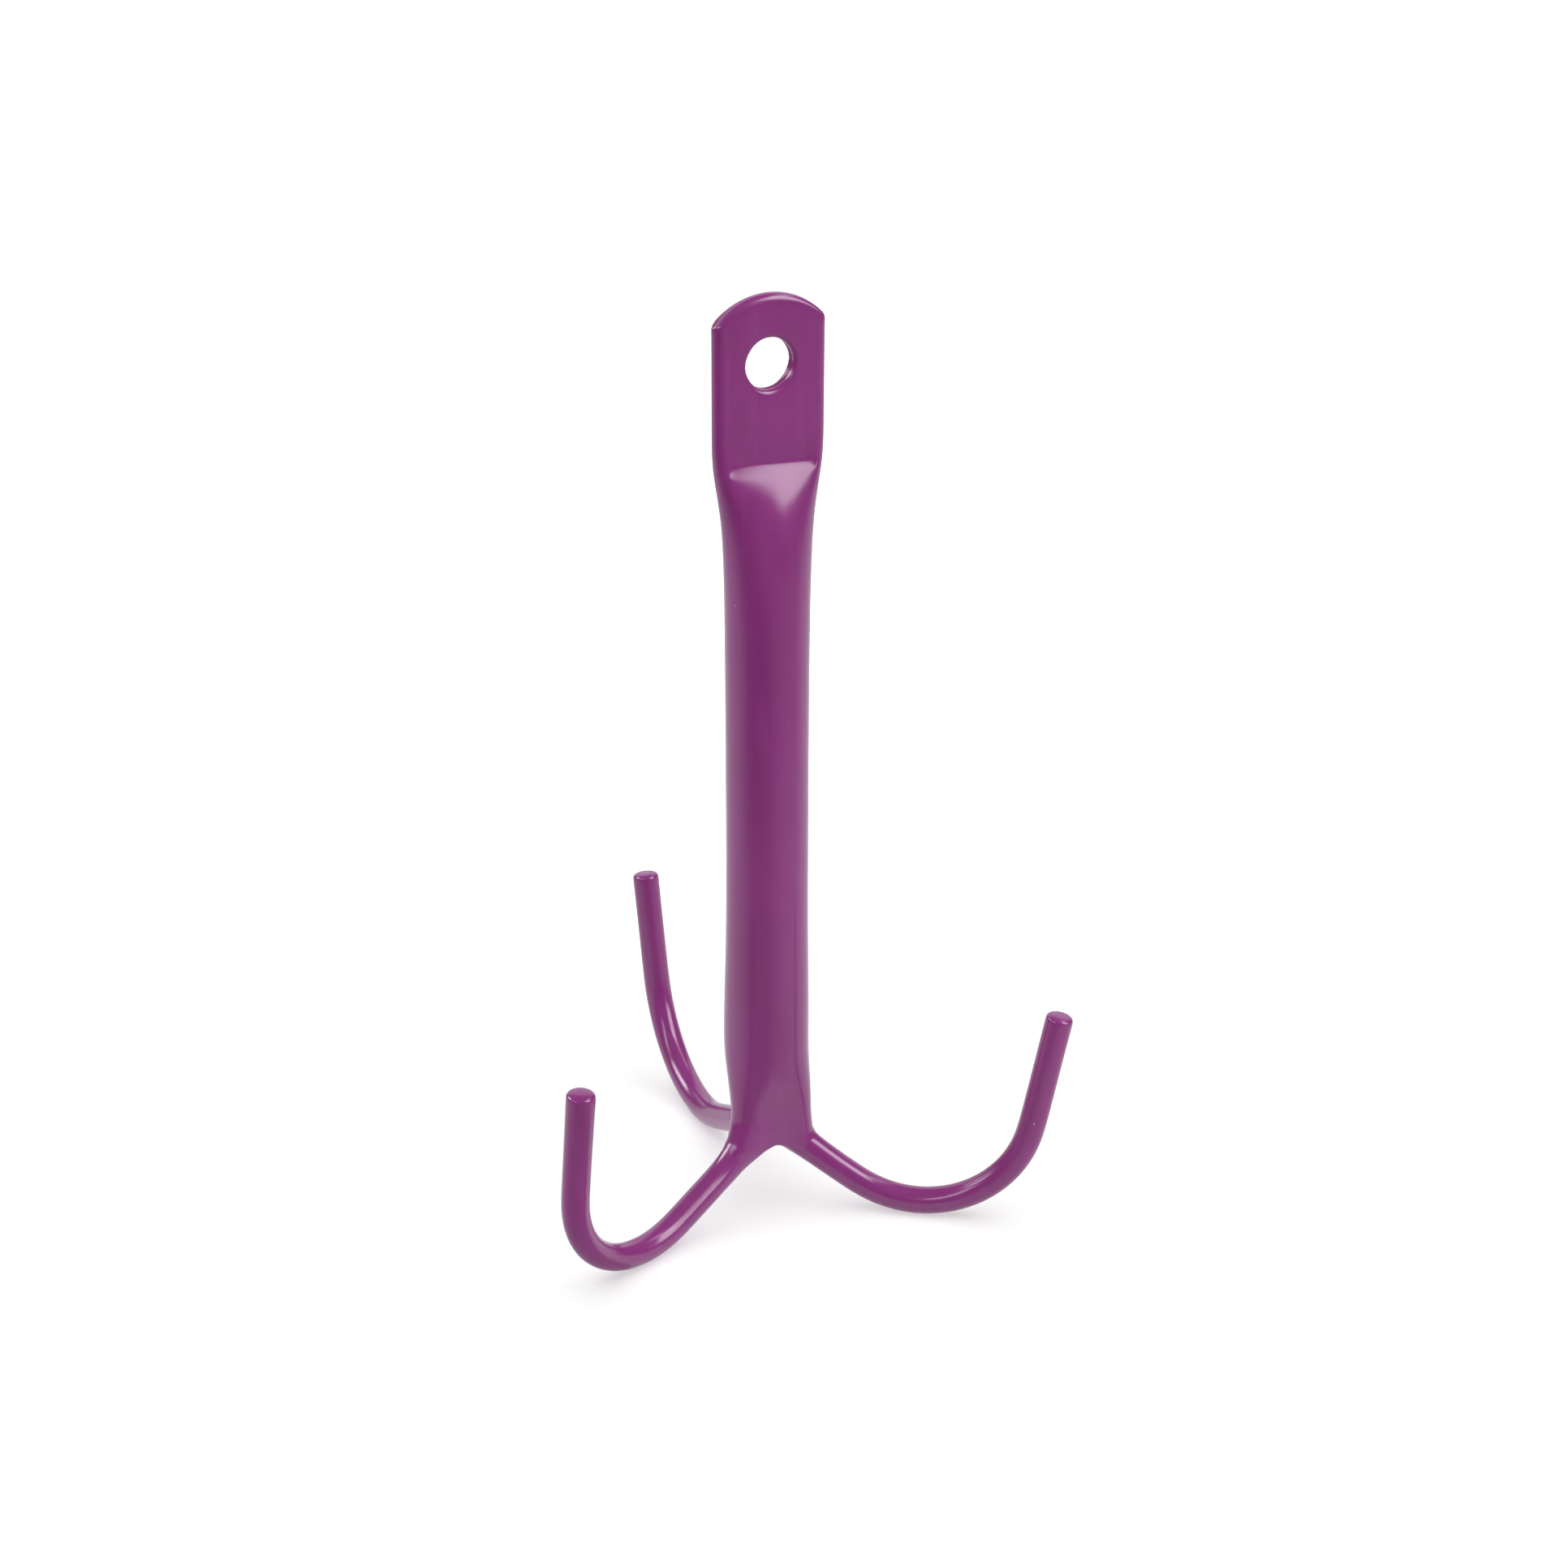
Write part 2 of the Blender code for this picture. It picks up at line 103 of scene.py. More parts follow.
class Bench:
    """A mesh held open in edit mode, shaped by operators on what lies at given places."""

    def __init__(self, name: str, sides: int, radius: float, centre: Vector) -> None:
        """Starts the piece as a ring of edges.

        Args:
            name: Name of the piece.
            sides: Points of the ring.
            radius: Radius of the ring, in metres.
            centre: Middle of the ring.
        """
        bpy.ops.object.select_all(action="DESELECT")
        bpy.ops.mesh.primitive_circle_add(vertices=sides, radius=radius, location=centre)
        self.piece = bpy.context.active_object
        self.piece.name = self.piece.data.name = name
        bpy.ops.object.transform_apply(location=True, rotation=True, scale=True)
        bpy.ops.object.mode_set(mode="EDIT")
        self.work_on("VERT")
        bpy.ops.mesh.select_all(action="SELECT")
        self.mesh = bmesh.from_edit_mesh(self.piece.data)

    def work_on(self, kind: str) -> None:
        """Lets the operators act on points, edges or faces: VERT, EDGE or FACE."""
        bpy.ops.mesh.select_mode(type=kind)

    def select(self, wanted: Iterable[BMVert | BMEdge | BMFace], between: bool = False) -> None:
        """Selects some points, edges or faces and nothing else.

        Args:
            wanted: What to select.
            between: Whether the edges and faces between selected points are selected too.
        """
        bpy.ops.mesh.select_all(action="DESELECT")
        for element in wanted:
            element.select_set(True)
        if between:
            self.mesh.select_flush(True)
        bmesh.update_edit_mesh(self.piece.data)

    def pick(self, test: Callable[[Vector], bool]) -> int:
        """Selects the points whose place passes a test.

        Args:
            test: Says of a place whether its point is wanted.

        Returns:
            How many points are selected.
        """
        found = [vert for vert in self.mesh.verts if test(vert.co)]
        self.select(found, between=True)
        return len(found)

    def nearest(self, place: Vector) -> BMVert:
        """Returns the point nearest to a place."""
        return min(self.mesh.verts, key=lambda vert: (vert.co - place).length)

    def pick_near(self, places: Sequence[Vector]) -> None:
        """Selects the one point nearest to each of the places."""
        self.select({self.nearest(place) for place in places}, between=True)

    def picked(self) -> list[Vector]:
        """Returns the places of the selected points."""
        return [vert.co.copy() for vert in self.mesh.verts if vert.select]

    def middle(self) -> Vector:
        """Returns the middle of the selected points."""
        places = self.picked()
        return sum(places, Vector()) / len(places)

    def extrude(self, offset: Vector) -> None:
        """Extrudes what is selected by an offset."""
        bpy.ops.mesh.extrude_region_move(TRANSFORM_OT_translate={"value": offset})

    def move(self, offset: Vector) -> None:
        """Moves what is selected by an offset."""
        bpy.ops.transform.translate(value=offset)

    def scale(self, factors: Sequence[float], centre: Vector) -> None:
        """Scales what is selected about a centre, by one factor along each world axis."""
        bpy.ops.transform.resize(value=factors, center_override=centre)

    def swell(self, factor: float) -> None:
        """Scales what is selected evenly about its own middle."""
        self.scale((factor, factor, factor), self.middle())

    def turn(self, angle: float, centre: Vector, axis: str = "Z") -> None:
        """Turns what is selected; without a window the operator turns the other way."""
        bpy.ops.transform.rotate(value=-angle, orient_axis=axis, center_override=centre)

    def spin(self, angle: float, steps: int, centre: Vector, axis: Vector) -> None:
        """Sweeps what is selected round an axis, in steps."""
        bpy.ops.mesh.spin(steps=steps, angle=angle, center=centre, axis=axis)

    def close(self) -> Object:
        """Closes edit mode and returns the piece."""
        bpy.ops.object.mode_set(mode="OBJECT")
        return self.piece

    def finish(self, levels: int) -> Object:
        """Merges doubles, turns the faces outwards and subdivides the cage.

        Args:
            levels: Levels of subdivision, the same in the viewport and the render.

        Returns:
            The smooth piece.
        """
        bpy.ops.mesh.select_all(action="SELECT")
        bpy.ops.mesh.remove_doubles(threshold=DOUBLE)
        bpy.ops.mesh.normals_make_consistent(inside=False)
        self.select(())
        soften = self.close().modifiers.new("soften", "SUBSURF")
        soften.levels = soften.render_levels = levels
        bpy.ops.object.modifier_apply(modifier=soften.name)
        bpy.ops.object.shade_smooth()
        return self.piece


class Face(Enum):
    """The two faces of the flat tab, by the side of the stem's axis on which they lie."""

    FRONT = -1
    BACK = 1


@dataclass(frozen=True)
class Tube:
    """Sizes of the coated tube, in metres and as heights above the floor."""

    axis: Vector
    radius: float = 10.0 * MM
    half_width: float = 14.3 * MM
    half_thickness: float = 2.15 * MM
    flat_foot: float = 192.6 * MM
    crease: float = 193.8 * MM
    crease_fade: float = 0.6
    flare_length: float = 12.4 * MM
    side_length: float = 13.4 * MM
    flare_rounding: float = 7.2 * MM
    bulge_from: float = 0.2
    top: float = 234.25 * MM
    arch_radius: float = 18.9 * MM
    hole_height: float = 217.66 * MM
    hole_radius: float = 6.05 * MM
    crimp_top: float = 25.8 * MM
    crimp_ease: float = 19.0 * MM
    crimp_turn: float = radians(-7)
    corner_radius: float = 4.85 * MM
    seat_reach: float = 6.05 * MM
    knee_top: float = 21.5 * MM
    coat: float = 0.8 * MM
    sag: float = 0.26 * MM
    sag_middle: float = 46 * MM
    sag_reach: float = 30 * MM
    sag_rise: float = 1.6

    def narrowed(self, height: float) -> float:
        """Says how far the width has reached the tab's.

        Args:
            height: Height of the section.

        Returns:
            A share that nears 0 down the stem and is 1 on the tab.
        """
        below = self.flat_foot - height
        rounding = min(max(below + self.flare_rounding, 0.0), 2 * self.flare_rounding)
        fall = rounding**2 / (4 * self.flare_rounding) + max(below - self.flare_rounding, 0.0)
        return exp(-fall / self.side_length)

    def thinned(self, height: float) -> float:
        """Returns how far the thickness has reached the tab's at a height, up to the crease."""
        return exp(-max(self.crease - height, 0.0) / self.flare_length)

    def crimped(self, height: float) -> float:
        """Returns how far the tube is pressed to three corners at a height, from 0 to 1."""
        return 1 - eased((height - self.crimp_top) / self.crimp_ease)

    def arch(self, across: float) -> float:
        """Returns how far the arched end lies below its top at a distance from its middle."""
        reach = min(abs(across), self.arch_radius)
        return self.arch_radius - sqrt(self.arch_radius**2 - reach**2)

    def sagged(self, height: float) -> float:
        """Returns how much thicker the coat is where it ran down and gathered above the crimp."""
        near = 1 - abs(height - self.sag_middle) / self.sag_reach
        return self.sag * eased(near * self.sag_rise)

    def flat_section(self, height: float, lengths: Sequence[float]) -> list[Vector]:
        """Draws a quarter of a flared or flat section, from its fold to its middle.

        The press left a crease across the middle of the flat, which fades towards the folds.

        Args:
            height: Height of the section.
            lengths: Places of the points, as shares of the quarter's length on the flat tab.

        Returns:
            The points, as offsets from the stem's axis.
        """
        sharp = self.quarter(height, self.thinned(height), lengths)
        soft = self.quarter(height, self.narrowed(height), lengths)
        points = []
        for crisp, faded in zip(sharp, soft):
            share = eased((crisp.x / self.half_width - self.crease_fade) / (1 - self.crease_fade))
            points.append(crisp.lerp(faded, share))
        return points

    def quarter(self, height: float, thin: float, lengths: Sequence[float]) -> list[Vector]:
        """Draws a quarter section, from a bulged form to flat with round folds.

        Args:
            height: Height of the section, which gives its width.
            thin: How far it is pressed, from 0 to 1.
            lengths: Places of the points, as shares of the quarter's length on the flat tab.

        Returns:
            The points, as offsets from the stem's axis.
        """
        radius = blend(self.radius, self.half_thickness, thin)
        reach = blend(self.radius, self.half_width, self.narrowed(height)) - radius
        length = radius * pi / 2 + reach
        flat = eased((thin - self.bulge_from) / (1 - self.bulge_from))
        points = []
        for index, tab_share in enumerate(lengths):
            share = blend(index / (len(lengths) - 1), tab_share, thin)
            facing = min(share * length / radius, pi / 2)
            across = reach - max(share * length - radius * pi / 2, 0)
            pressed = Vector((across, 0, 0)) + level(facing) * radius
            angle = share * pi / 2
            bulged = Vector(((reach + radius) * cos(angle), radius * sin(angle), 0))
            points.append(bulged.lerp(pressed, flat))
        return points

    def crimped_radius(self, height: float, angle: float) -> float:
        """Measures the crimped section, a triangle with round corners.

        Args:
            height: Height of the section.
            angle: Angle from its nearest corner.

        Returns:
            The distance from the axis to the wall.
        """
        share = self.crimped(height)
        reach = self.seat_reach * share
        radius = blend(self.radius, self.corner_radius, share)
        limit = atan2(radius * sin(pi / 3), reach + radius / 2)
        if angle > limit:
            return (reach / 2 + radius) / cos(pi / 3 - angle)
        return reach * cos(angle) + sqrt(radius**2 - (reach * sin(angle)) ** 2)


@dataclass(frozen=True)
class HookShape:
    """One bent rod under its coat: where it points and how it runs from its knee to its tip."""

    name: str
    azimuth: float
    swing: float
    slope: float
    bend_radius: float
    rise: float
    tip_length: float
    lean: float
    gathered: float
    tip_coat: float
    knee_radius: float = 6.0 * MM
    shank_heading: float = radians(-85.7)

    def facing(self, tube: Tube) -> float:
        """Returns the angle about Z in which the hook points."""
        return self.azimuth + tube.crimp_turn + self.swing

    def knee_end(self, tube: Tube) -> Vector:
        """Finds the end of the knee in the hook's own plane.

        Args:
            tube: Tube that the hook sits in.

        Returns:
            The point, as its distance from the stem's axis and its height.
        """
        shank = Vector((-sin(self.shank_heading), cos(self.shank_heading)))
        centre = Vector((tube.seat_reach, tube.knee_top)) + self.knee_radius * shank
        return centre + self.knee_radius * Vector((-sin(self.slope), -cos(self.slope)))

    def place(self, tube: Tube, out: float, height: float) -> Vector:
        """Finds the place in space of a point of the hook's own plane.

        Args:
            tube: Tube that the hook sits in.
            out: Distance of the point from the stem's axis.
            height: Height of the point in the plane.

        Returns:
            The place.
        """
        _, _, rising = self.axes(tube)
        seat = tube.axis + level(self.azimuth + tube.crimp_turn) * tube.seat_reach
        along = level(self.facing(tube)) * (out - tube.seat_reach)
        return seat + along + UP * tube.knee_top + rising * (height - tube.knee_top)

    def axes(self, tube: Tube) -> tuple[Vector, Vector, Vector]:
        """Finds the hook's own directions.

        Args:
            tube: Tube that the hook sits in.

        Returns:
            The directions out, to its side and up, with its small lean.
        """
        out = level(self.facing(tube))
        side = level(self.facing(tube) + pi / 2)
        rising = UP * cos(self.lean) + side * sin(self.lean)
        return out, rising.cross(out), rising


HOOKS = (
    HookShape(
        name="left",
        azimuth=radians(-150),
        swing=radians(-1.7),
        slope=radians(25.4),
        bend_radius=26.3 * MM,
        rise=radians(90),
        tip_length=28.35 * MM,
        lean=radians(5.4),
        gathered=2.4 * MM,
        tip_coat=0.15 * MM,
    ),
    HookShape(
        name="right",
        azimuth=radians(-30),
        swing=radians(-0.6),
        slope=radians(33),
        bend_radius=28.75 * MM,
        rise=radians(79),
        tip_length=30.45 * MM,
        lean=radians(2.0),
        gathered=0.5 * MM,
        tip_coat=0.04 * MM,
    ),
    HookShape(
        name="rear",
        azimuth=radians(90),
        swing=radians(2.8),
        slope=radians(23),
        bend_radius=29.5 * MM,
        rise=radians(82),
        tip_length=28.05 * MM,
        lean=radians(2.3),
        gathered=0.4 * MM,
        tip_coat=0.04 * MM,
    ),
)


@dataclass
class DippedCoat:
    """The one continuous plastic film: stem, tab, hanging hole, webs and three arms.

    Where a field holds several numbers, its lengths are in millimetres and its angles in degrees.
    """

    tube: Tube
    hooks: tuple[HookShape, ...] = HOOKS
    sides: int = 24
    arm_sides: int = 12
    levels: int = 2
    column_width: float = 0.2
    # Heights of the stem's rings, from the foot up to the hanging hole.
    hub_height: float = 20.8 * MM
    foot_ring: float = 24 * MM
    ease_rings: int = 5
    shaft_rings: tuple[float, ...] = (48, 55, 64, 78, 100, 122, 140)
    flare_rings: tuple[float, ...] = (152, 158, 163, 168, 172.5, 177, 181, 185, 188.5, 191.5)
    crease_rings: tuple[float, ...] = (-1.4, 0.0, 1.4, 4.5, 8.0)
    row_below_hole: float = 11 * MM
    press_foot: float = 130 * MM
    # The crimp: where its turn begins to fade and over what height, and the fuller side wall.
    untwist: tuple[float, float] = (60, 70)
    full_height: tuple[float, float] = (21, 5)
    fullness: float = 0.5 * MM
    full_columns: tuple[tuple[float, float], ...] = (
        (90, 0.5), (75, 0.85), (60, 1), (45, 0.85), (30, 0.5)
    )
    # The tab: its small tilt, its columns, and the steps in which its end closes.
    tilt: float = radians(0.22)
    tilt_foot: float = 145 * MM
    tab_shares: tuple[float, ...] = (0, 0.11, 0.219, 0.27, 0.35, 0.62, 1)
    rim_columns: tuple[float, ...] = (14.6, 13.85, 12.7, 10.9, 8.4, 4.6, 0)
    rim_drops: tuple[float, float] = (2.3, 0.85)
    rim_thin: float = 0.955
    end_steps: tuple[tuple[float, float, float], ...] = ((0.8, 0.658, 0.992), (0.17, 0.333, 0.975))
    # Marks of the press: the crease's wave as (across, lift), and the bead on one corner.
    crease_wave: tuple[tuple[float, float], ...] = ((-8.4, 0.5), (-4.6, 1.1), (0, 0.5), (8.4, -0.2))
    corner_drop: float = 0.8 * MM
    corner_bead: tuple[float, float, float] = (-0.4, -0.16, 0.08)
    # The hanging hole: its lips as (wider, deeper), and the groove of the tube's seam inside it.
    hole_reach: float = 1.5
    hole_oval: tuple[float, float] = (1.06, 0.968)
    hole_shift: tuple[float, float] = (-0.3, 0.18)
    lip_width: float = 1.5 * MM
    lip_steps: tuple[tuple[float, float], ...] = ((0.42, 0.15), (0, 1.0))
    seam_half: float = 0.3 * MM
    seam_groove: float = 0.5 * MM
    # The foot: the webs between the arms and the hollow in their middle.
    web_height: float = 18.6 * MM
    middle_height: float = 17.6 * MM
    web_drops: tuple[tuple[int, float], ...] = ((2, 0.15), (3, 0.6), (4, 1.0))
    web_from: float = 6.5 * MM
    web_border: float = 0.1
    web_rings: int = 2
    # The arms: their rings, how thick the coat is on them, and the steps that round their tips.
    arm_start: float = 1.8 * MM
    arm_ring: float = 4.5 * MM
    slope_step: float = 6 * MM
    bend_step: float = 9.0
    tip_rings: int = 4
    wire_radius: float = 3.29 * MM
    wire_gain: float = 0.17 * MM
    gain_height: float = 60 * MM
    wire_seat: float = 3.3 * MM
    tip_bead: float = 1.02
    tip_steps: tuple[tuple[float, float], ...] = (
        (0.85, 0.975), (0.52, 0.87), (0.25, 0.69), (0.1, 0.5)
    )
    # Plastic that ran together: over the knees and in the arches between the arms.
    gather_drop: float = 1.2 * MM
    gather_rise: float = 0.15
    gather_steps: tuple[tuple[float, float], ...] = ((5.5, 0.45), (3.6, 0.55))
    arch_crown: float = 7.9 * MM
    arch_from: float = 6 * MM
    arch_drop: float = 0.6 * MM
    arch_reach: float = 3.3 * MM
    arch_lift: float = 0.85 * MM
    crown_sink: float = 0.25
    bench: Bench = field(init=False)

    @property
    def step(self) -> float:
        """Returns the angle between neighbouring columns of the stem."""
        return tau / self.sides

    @property
    def third(self) -> float:
        """Returns the angle between neighbouring hooks."""
        return tau / len(self.hooks)

    def build(self) -> Object:
        """Models the coat.

        Returns:
            The finished piece.
        """
        self.raise_stem()
        self.press_tab()
        self.press_crimp()
        self.close_tab()
        self.open_hole()
        self.mark_tab()
        self.split_foot()
        for hook in self.hooks:
            self.draw_arm(hook)
        for hook in self.hooks:
            self.bridge_web(hook)
            self.gather(hook)
        for hook in self.hooks:
            self.round_arch(hook)
        self.bench.pick(lambda place: place.z > self.tilt_foot)
        self.bench.turn(self.tilt, self.tube.axis + UP * self.tilt_foot, "Y")
        return self.bench.finish(self.levels)

    def stations(self) -> list[float]:
        """Lists the heights of the stem's rings.

        Returns:
            The heights, from the foot to the tab's last full row.
        """
        tube, steps = self.tube, self.ease_rings
        ease = [tube.crimp_top + tube.crimp_ease * step / steps for step in range(steps + 1)]
        shaft = [height * MM for height in (*self.shaft_rings, *self.flare_rings)]
        crease = [tube.crease + offset * MM for offset in self.crease_rings]
        rows = [tube.hole_height - self.row_below_hole, *self.hole_rows()]
        return [self.hub_height, self.foot_ring, *ease, *shaft, *crease, *rows]

    def hole_rows(self) -> list[float]:
        """Returns the heights of the three rows of points that the hole is opened in."""
        reach, middle = self.face_ring(), self.tube.hole_height
        return [middle - reach, middle, middle + reach]

    def face_ring(self) -> float:
        """Returns the radius of the cage ring on the tab's face round the hole."""
        return (self.tube.hole_radius + self.lip_width) * cage_gain(pi / 4)

    def corner(self, hook: HookShape) -> float:
        """Returns the angle about Z of the tube's corner that holds a hook's rod."""
        return hook.azimuth + self.tube.crimp_turn

    def raise_stem(self) -> None:
        """Raises the round stem from a ring at its foot, one station at a time."""
        heights = self.stations()
        foot = self.tube.axis + UP * heights[0]
        self.bench = Bench("plastic_skin", self.sides, self.tube.radius, foot)
        for lower, upper in zip(heights, heights[1:]):
            self.bench.extrude(UP * (upper - lower))

    def pick_column(self, height: float, index: int, fold: float, turned: float) -> None:
        """Selects the points of one ring that lie in a column of each mirrored sector.

        Args:
            height: Height of the ring.
            index: Number of the column, from 0 at a sector's corner.
            fold: Half the angle from one sector's corner to the next.
            turned: Angle about Z of a sector's corner.
        """

        def wanted(place: Vector) -> bool:
            """Says whether a place is in the ring and near the column."""
            gap = place - self.tube.axis
            around = (atan2(gap.y, gap.x) - turned) % (2 * fold)
            column = min(around, 2 * fold - around) / self.step
            return abs(place.z - height) < CLOSE and abs(column - index) < self.column_width

        self.bench.pick(wanted)

    def press_tab(self) -> None:
        """Presses the rings of the flare and the tab flat, columns of points at a time."""
        for height in self.stations():
            if height < self.press_foot:
                continue
            quarter = self.tube.flat_section(height, self.tab_shares)
            half = quarter + [Vector((-place.x, place.y, 0)) for place in quarter[-2::-1]]
            cage = passing(half + [Vector((place.x, -place.y, 0)) for place in half[-2:0:-1]])
            for index in range(len(quarter)):
                start = level(index * self.step) * self.tube.radius
                wide = cage[index].x / start.x if index < len(quarter) - 1 else 1
                deep = cage[index].y / start.y if index else 1
                self.pick_column(height, index, pi / 2, 0)
                self.bench.scale((wide, deep, 1), self.tube.axis + UP * height)

    def press_crimp(self) -> None:
        """Turns the lower rings to the rods' star and presses them in between its corners."""
        tube, third = self.tube, self.third
        untwist_foot, untwist_length = self.untwist
        for height in self.stations():
            if height > self.press_foot:
                break
            turn = tube.crimp_turn * (1 - eased((height / MM - untwist_foot) / untwist_length))
            centre = tube.axis + UP * height
            self.bench.pick(lambda place: abs(place.z - height) < CLOSE)
            self.bench.turn(turn, centre)
            ring = []
            for angle in (self.step * index for index in range(self.sides)):
                folded = min(angle % third, third - angle % third)
                wall = tube.crimped_radius(height, folded) + tube.sagged(height)
                ring.append(level(angle) * wall)
            cage = passing(ring)
            for index in range(self.sides // (2 * len(self.hooks)) + 1):
                factor = cage[index].length / tube.radius
                self.pick_column(height, index, third / 2, self.hooks[0].azimuth + turn)
                self.bench.scale((factor, factor, 1), centre)
            self.fill_side(height)

    def fill_side(self, height: float) -> None:
        """Leaves the wall fuller between the left and the rear rod, where the press bit less.

        Args:
            height: Height of the ring that is filled.
        """
        tube = self.tube
        foot, ease = self.full_height
        crimp_share = tube.crimped(height) * eased((height / MM - foot) / ease)
        share = max(crimp_share, eased(1 - abs(height - tube.sag_middle) / tube.sag_reach))
        if share == 0:
            return
        for turn, part in self.full_columns:
            aside = level(self.corner(self.hooks[0]) - radians(turn))
            self.bench.pick_near([tube.axis + UP * height + aside * tube.radius])
            self.bench.move(aside * self.fullness * share * part)

    def close_tab(self) -> None:
        """Raises the tab's rim along its arch and closes it across its thickness."""
        tube, bench = self.tube, self.bench
        crown = tube.axis + UP * tube.top
        rows = [tube.top - drop * MM for drop in self.rim_drops]
        last = self.hole_rows()[-1]
        bench.pick(lambda place: abs(place.z - last) < CLOSE)
        columns = {round(abs(place.x - tube.axis.x), DIGITS) for place in bench.picked()}
        for height in rows:
            top = max(vert.co.z for vert in bench.mesh.verts)
            bench.pick(lambda place: place.z > top - CLOSEST)
            bench.extrude(UP * (height - bench.middle().z))
        for height in reversed(rows):
            for old, new in zip(sorted(columns, reverse=True), self.rim_columns):
                bench.pick(
                    lambda place: abs(place.z - height) < CLOSEST
                    and abs(abs(place.x - tube.axis.x) - old) < CLOSER
                )
                wide = new * MM / old if old else 1
                bench.scale((wide, 1, 1), tube.axis + UP * height)
                bench.move(UP * -tube.arch(new * MM))
        bench.pick(lambda place: abs(place.z - rows[1] + tube.arch(place.x - tube.axis.x)) < CLOSER)
        bench.scale((1, self.rim_thin, 1), crown)
        for lift, thin, wide in self.end_steps:
            bench.extrude(UP * lift * MM)
            bench.scale((wide, thin, 1), crown)
        rim = bench.picked()
        across = sorted({round(place.x, DIGITS) for place in rim})
        for left, right in zip(across, across[1:]):
            bench.pick_near(
                [place for place in rim if left - CLOSEST < place.x < right + CLOSEST]
            )
            bpy.ops.mesh.edge_face_add()

    def open_hole(self) -> None:
        """Opens the hanging hole in both faces, rounds it and lines it, with the seam's groove."""
        bench, hole = self.bench, self.tube.hole_radius
        centre = self.tube.axis + UP * self.tube.hole_height
        half = self.tube.half_thickness
        walls = [(hole + wider * MM, inward * MM) for wider, inward in self.lip_steps]
        walls.append((hole, half - self.seam_half))
        faces = {side: centre + Vector((0, side.value * half, 0)) for side in Face}
        for face in faces.values():
            bench.pick_near([face])
            bpy.ops.mesh.delete(type="VERT")
        for side, face in faces.items():
            self.pick_hole_edge(face, side)
            bpy.ops.transform.tosphere(value=1)
            sizes = [(place - face).length for place in bench.picked()]
            ring, depth = self.face_ring(), 0.0
            factor = ring / (sum(sizes) / len(sizes))
            bench.scale((factor, 1, factor), face)
            shift = Vector((self.hole_shift[0] * MM, 0, self.hole_shift[1] * MM))
            wide, high = self.hole_oval
            middle = face
            for wall, inward in walls:
                radius = wall * cage_gain(pi / 4)
                bench.extrude(Vector((0, -side.value * (inward - depth), 0)))
                bench.scale((wide * radius / ring, 1, high * radius / ring), middle)
                if middle is face:
                    middle = face + shift
                    bench.move(shift)
                    wide, high = 1.0, 1.0
                ring, depth = radius, inward
        self.pick_lining(centre, self.seam_half)
        bpy.ops.mesh.bridge_edge_loops(number_cuts=1, interpolation="LINEAR")
        self.pick_lining(centre, 0)
        groove = 1 + self.seam_groove / hole
        bench.scale((groove, 1, groove), centre)

    def pick_hole_edge(self, face: Vector, side: Face) -> None:
        """Selects the edge round the opened hole on one face of the tab.

        Args:
            face: Middle of the hole on that face.
            side: Which face it is.
        """
        reach = self.face_ring() * self.hole_reach

        def round_hole(vert: BMVert) -> bool:
            """Says whether a point is near the hole and on this face."""
            aside = (vert.co.y - self.tube.axis.y) * side.value
            return aside > 0 and (vert.co - face).length < reach

        edges = self.bench.mesh.edges
        self.bench.select(
            edge for edge in edges if edge.is_boundary and all(map(round_hole, edge.verts))
        )

    def pick_lining(self, centre: Vector, apart: float) -> None:
        """Selects points of the hole's lining.

        Args:
            centre: Middle of the hole.
            apart: Distance of the points from the middle of the tab's thickness.
        """
        reach = self.face_ring() * self.hole_reach
        self.bench.pick(
            lambda place: abs(abs(place.y - centre.y) - apart) < CLOSER
            and (place - centre).length < reach
        )

    def mark_tab(self) -> None:
        """Waves the front crease as the press left it, and leaves a bead on the tab's corner."""
        tube = self.tube
        for across, lift in self.crease_wave:
            place = Vector((across * MM, -tube.half_thickness, tube.crease))
            self.bench.pick_near([tube.axis + place])
            self.bench.move(UP * lift * MM)
        height = tube.top - tube.arch(tube.half_width) - self.corner_drop
        self.bench.pick_near([tube.axis + Vector((-tube.half_width, 0, height))])
        self.bench.move(Vector(self.corner_bead) * MM)

    def split_foot(self) -> None:
        """Closes the foot, sinks its middle and leaves one open loop for each arm."""
        bench, axis = self.bench, self.tube.axis
        bench.pick(lambda place: abs(place.z - self.hub_height) < CLOSE)
        bpy.ops.mesh.edge_face_add()
        bpy.ops.mesh.poke()
        bench.pick_near([axis + UP * self.hub_height])
        bench.move(UP * (self.middle_height - self.hub_height))
        middle = axis + UP * self.middle_height
        for index, drop in self.web_drops:
            self.pick_column(self.hub_height, index, self.third / 2, self.corner(self.hooks[0]))
            bench.move(UP * (self.web_height - self.hub_height) * drop)
        hub = bench.nearest(middle)
        spokes = {edge: edge.other_vert(hub).co - axis for edge in hub.link_edges}
        kept = set()
        for hook in self.hooks:
            valley = level(self.corner(hook) - self.third / 2).to_2d()
            kept.add(min(spokes, key=lambda edge: spokes[edge].to_2d().angle(valley)))
        bench.work_on("EDGE")
        bench.select(edge for edge in spokes if edge not in kept)
        bpy.ops.mesh.dissolve_edges(use_verts=False)
        bench.work_on("FACE")
        bench.select(bench.nearest(middle).link_faces)
        bpy.ops.mesh.delete(type="ONLY_FACE")
        bench.work_on("EDGE")
        bench.select(bench.nearest(middle).link_edges)
        bpy.ops.mesh.subdivide(number_cuts=1)
        bench.work_on("VERT")

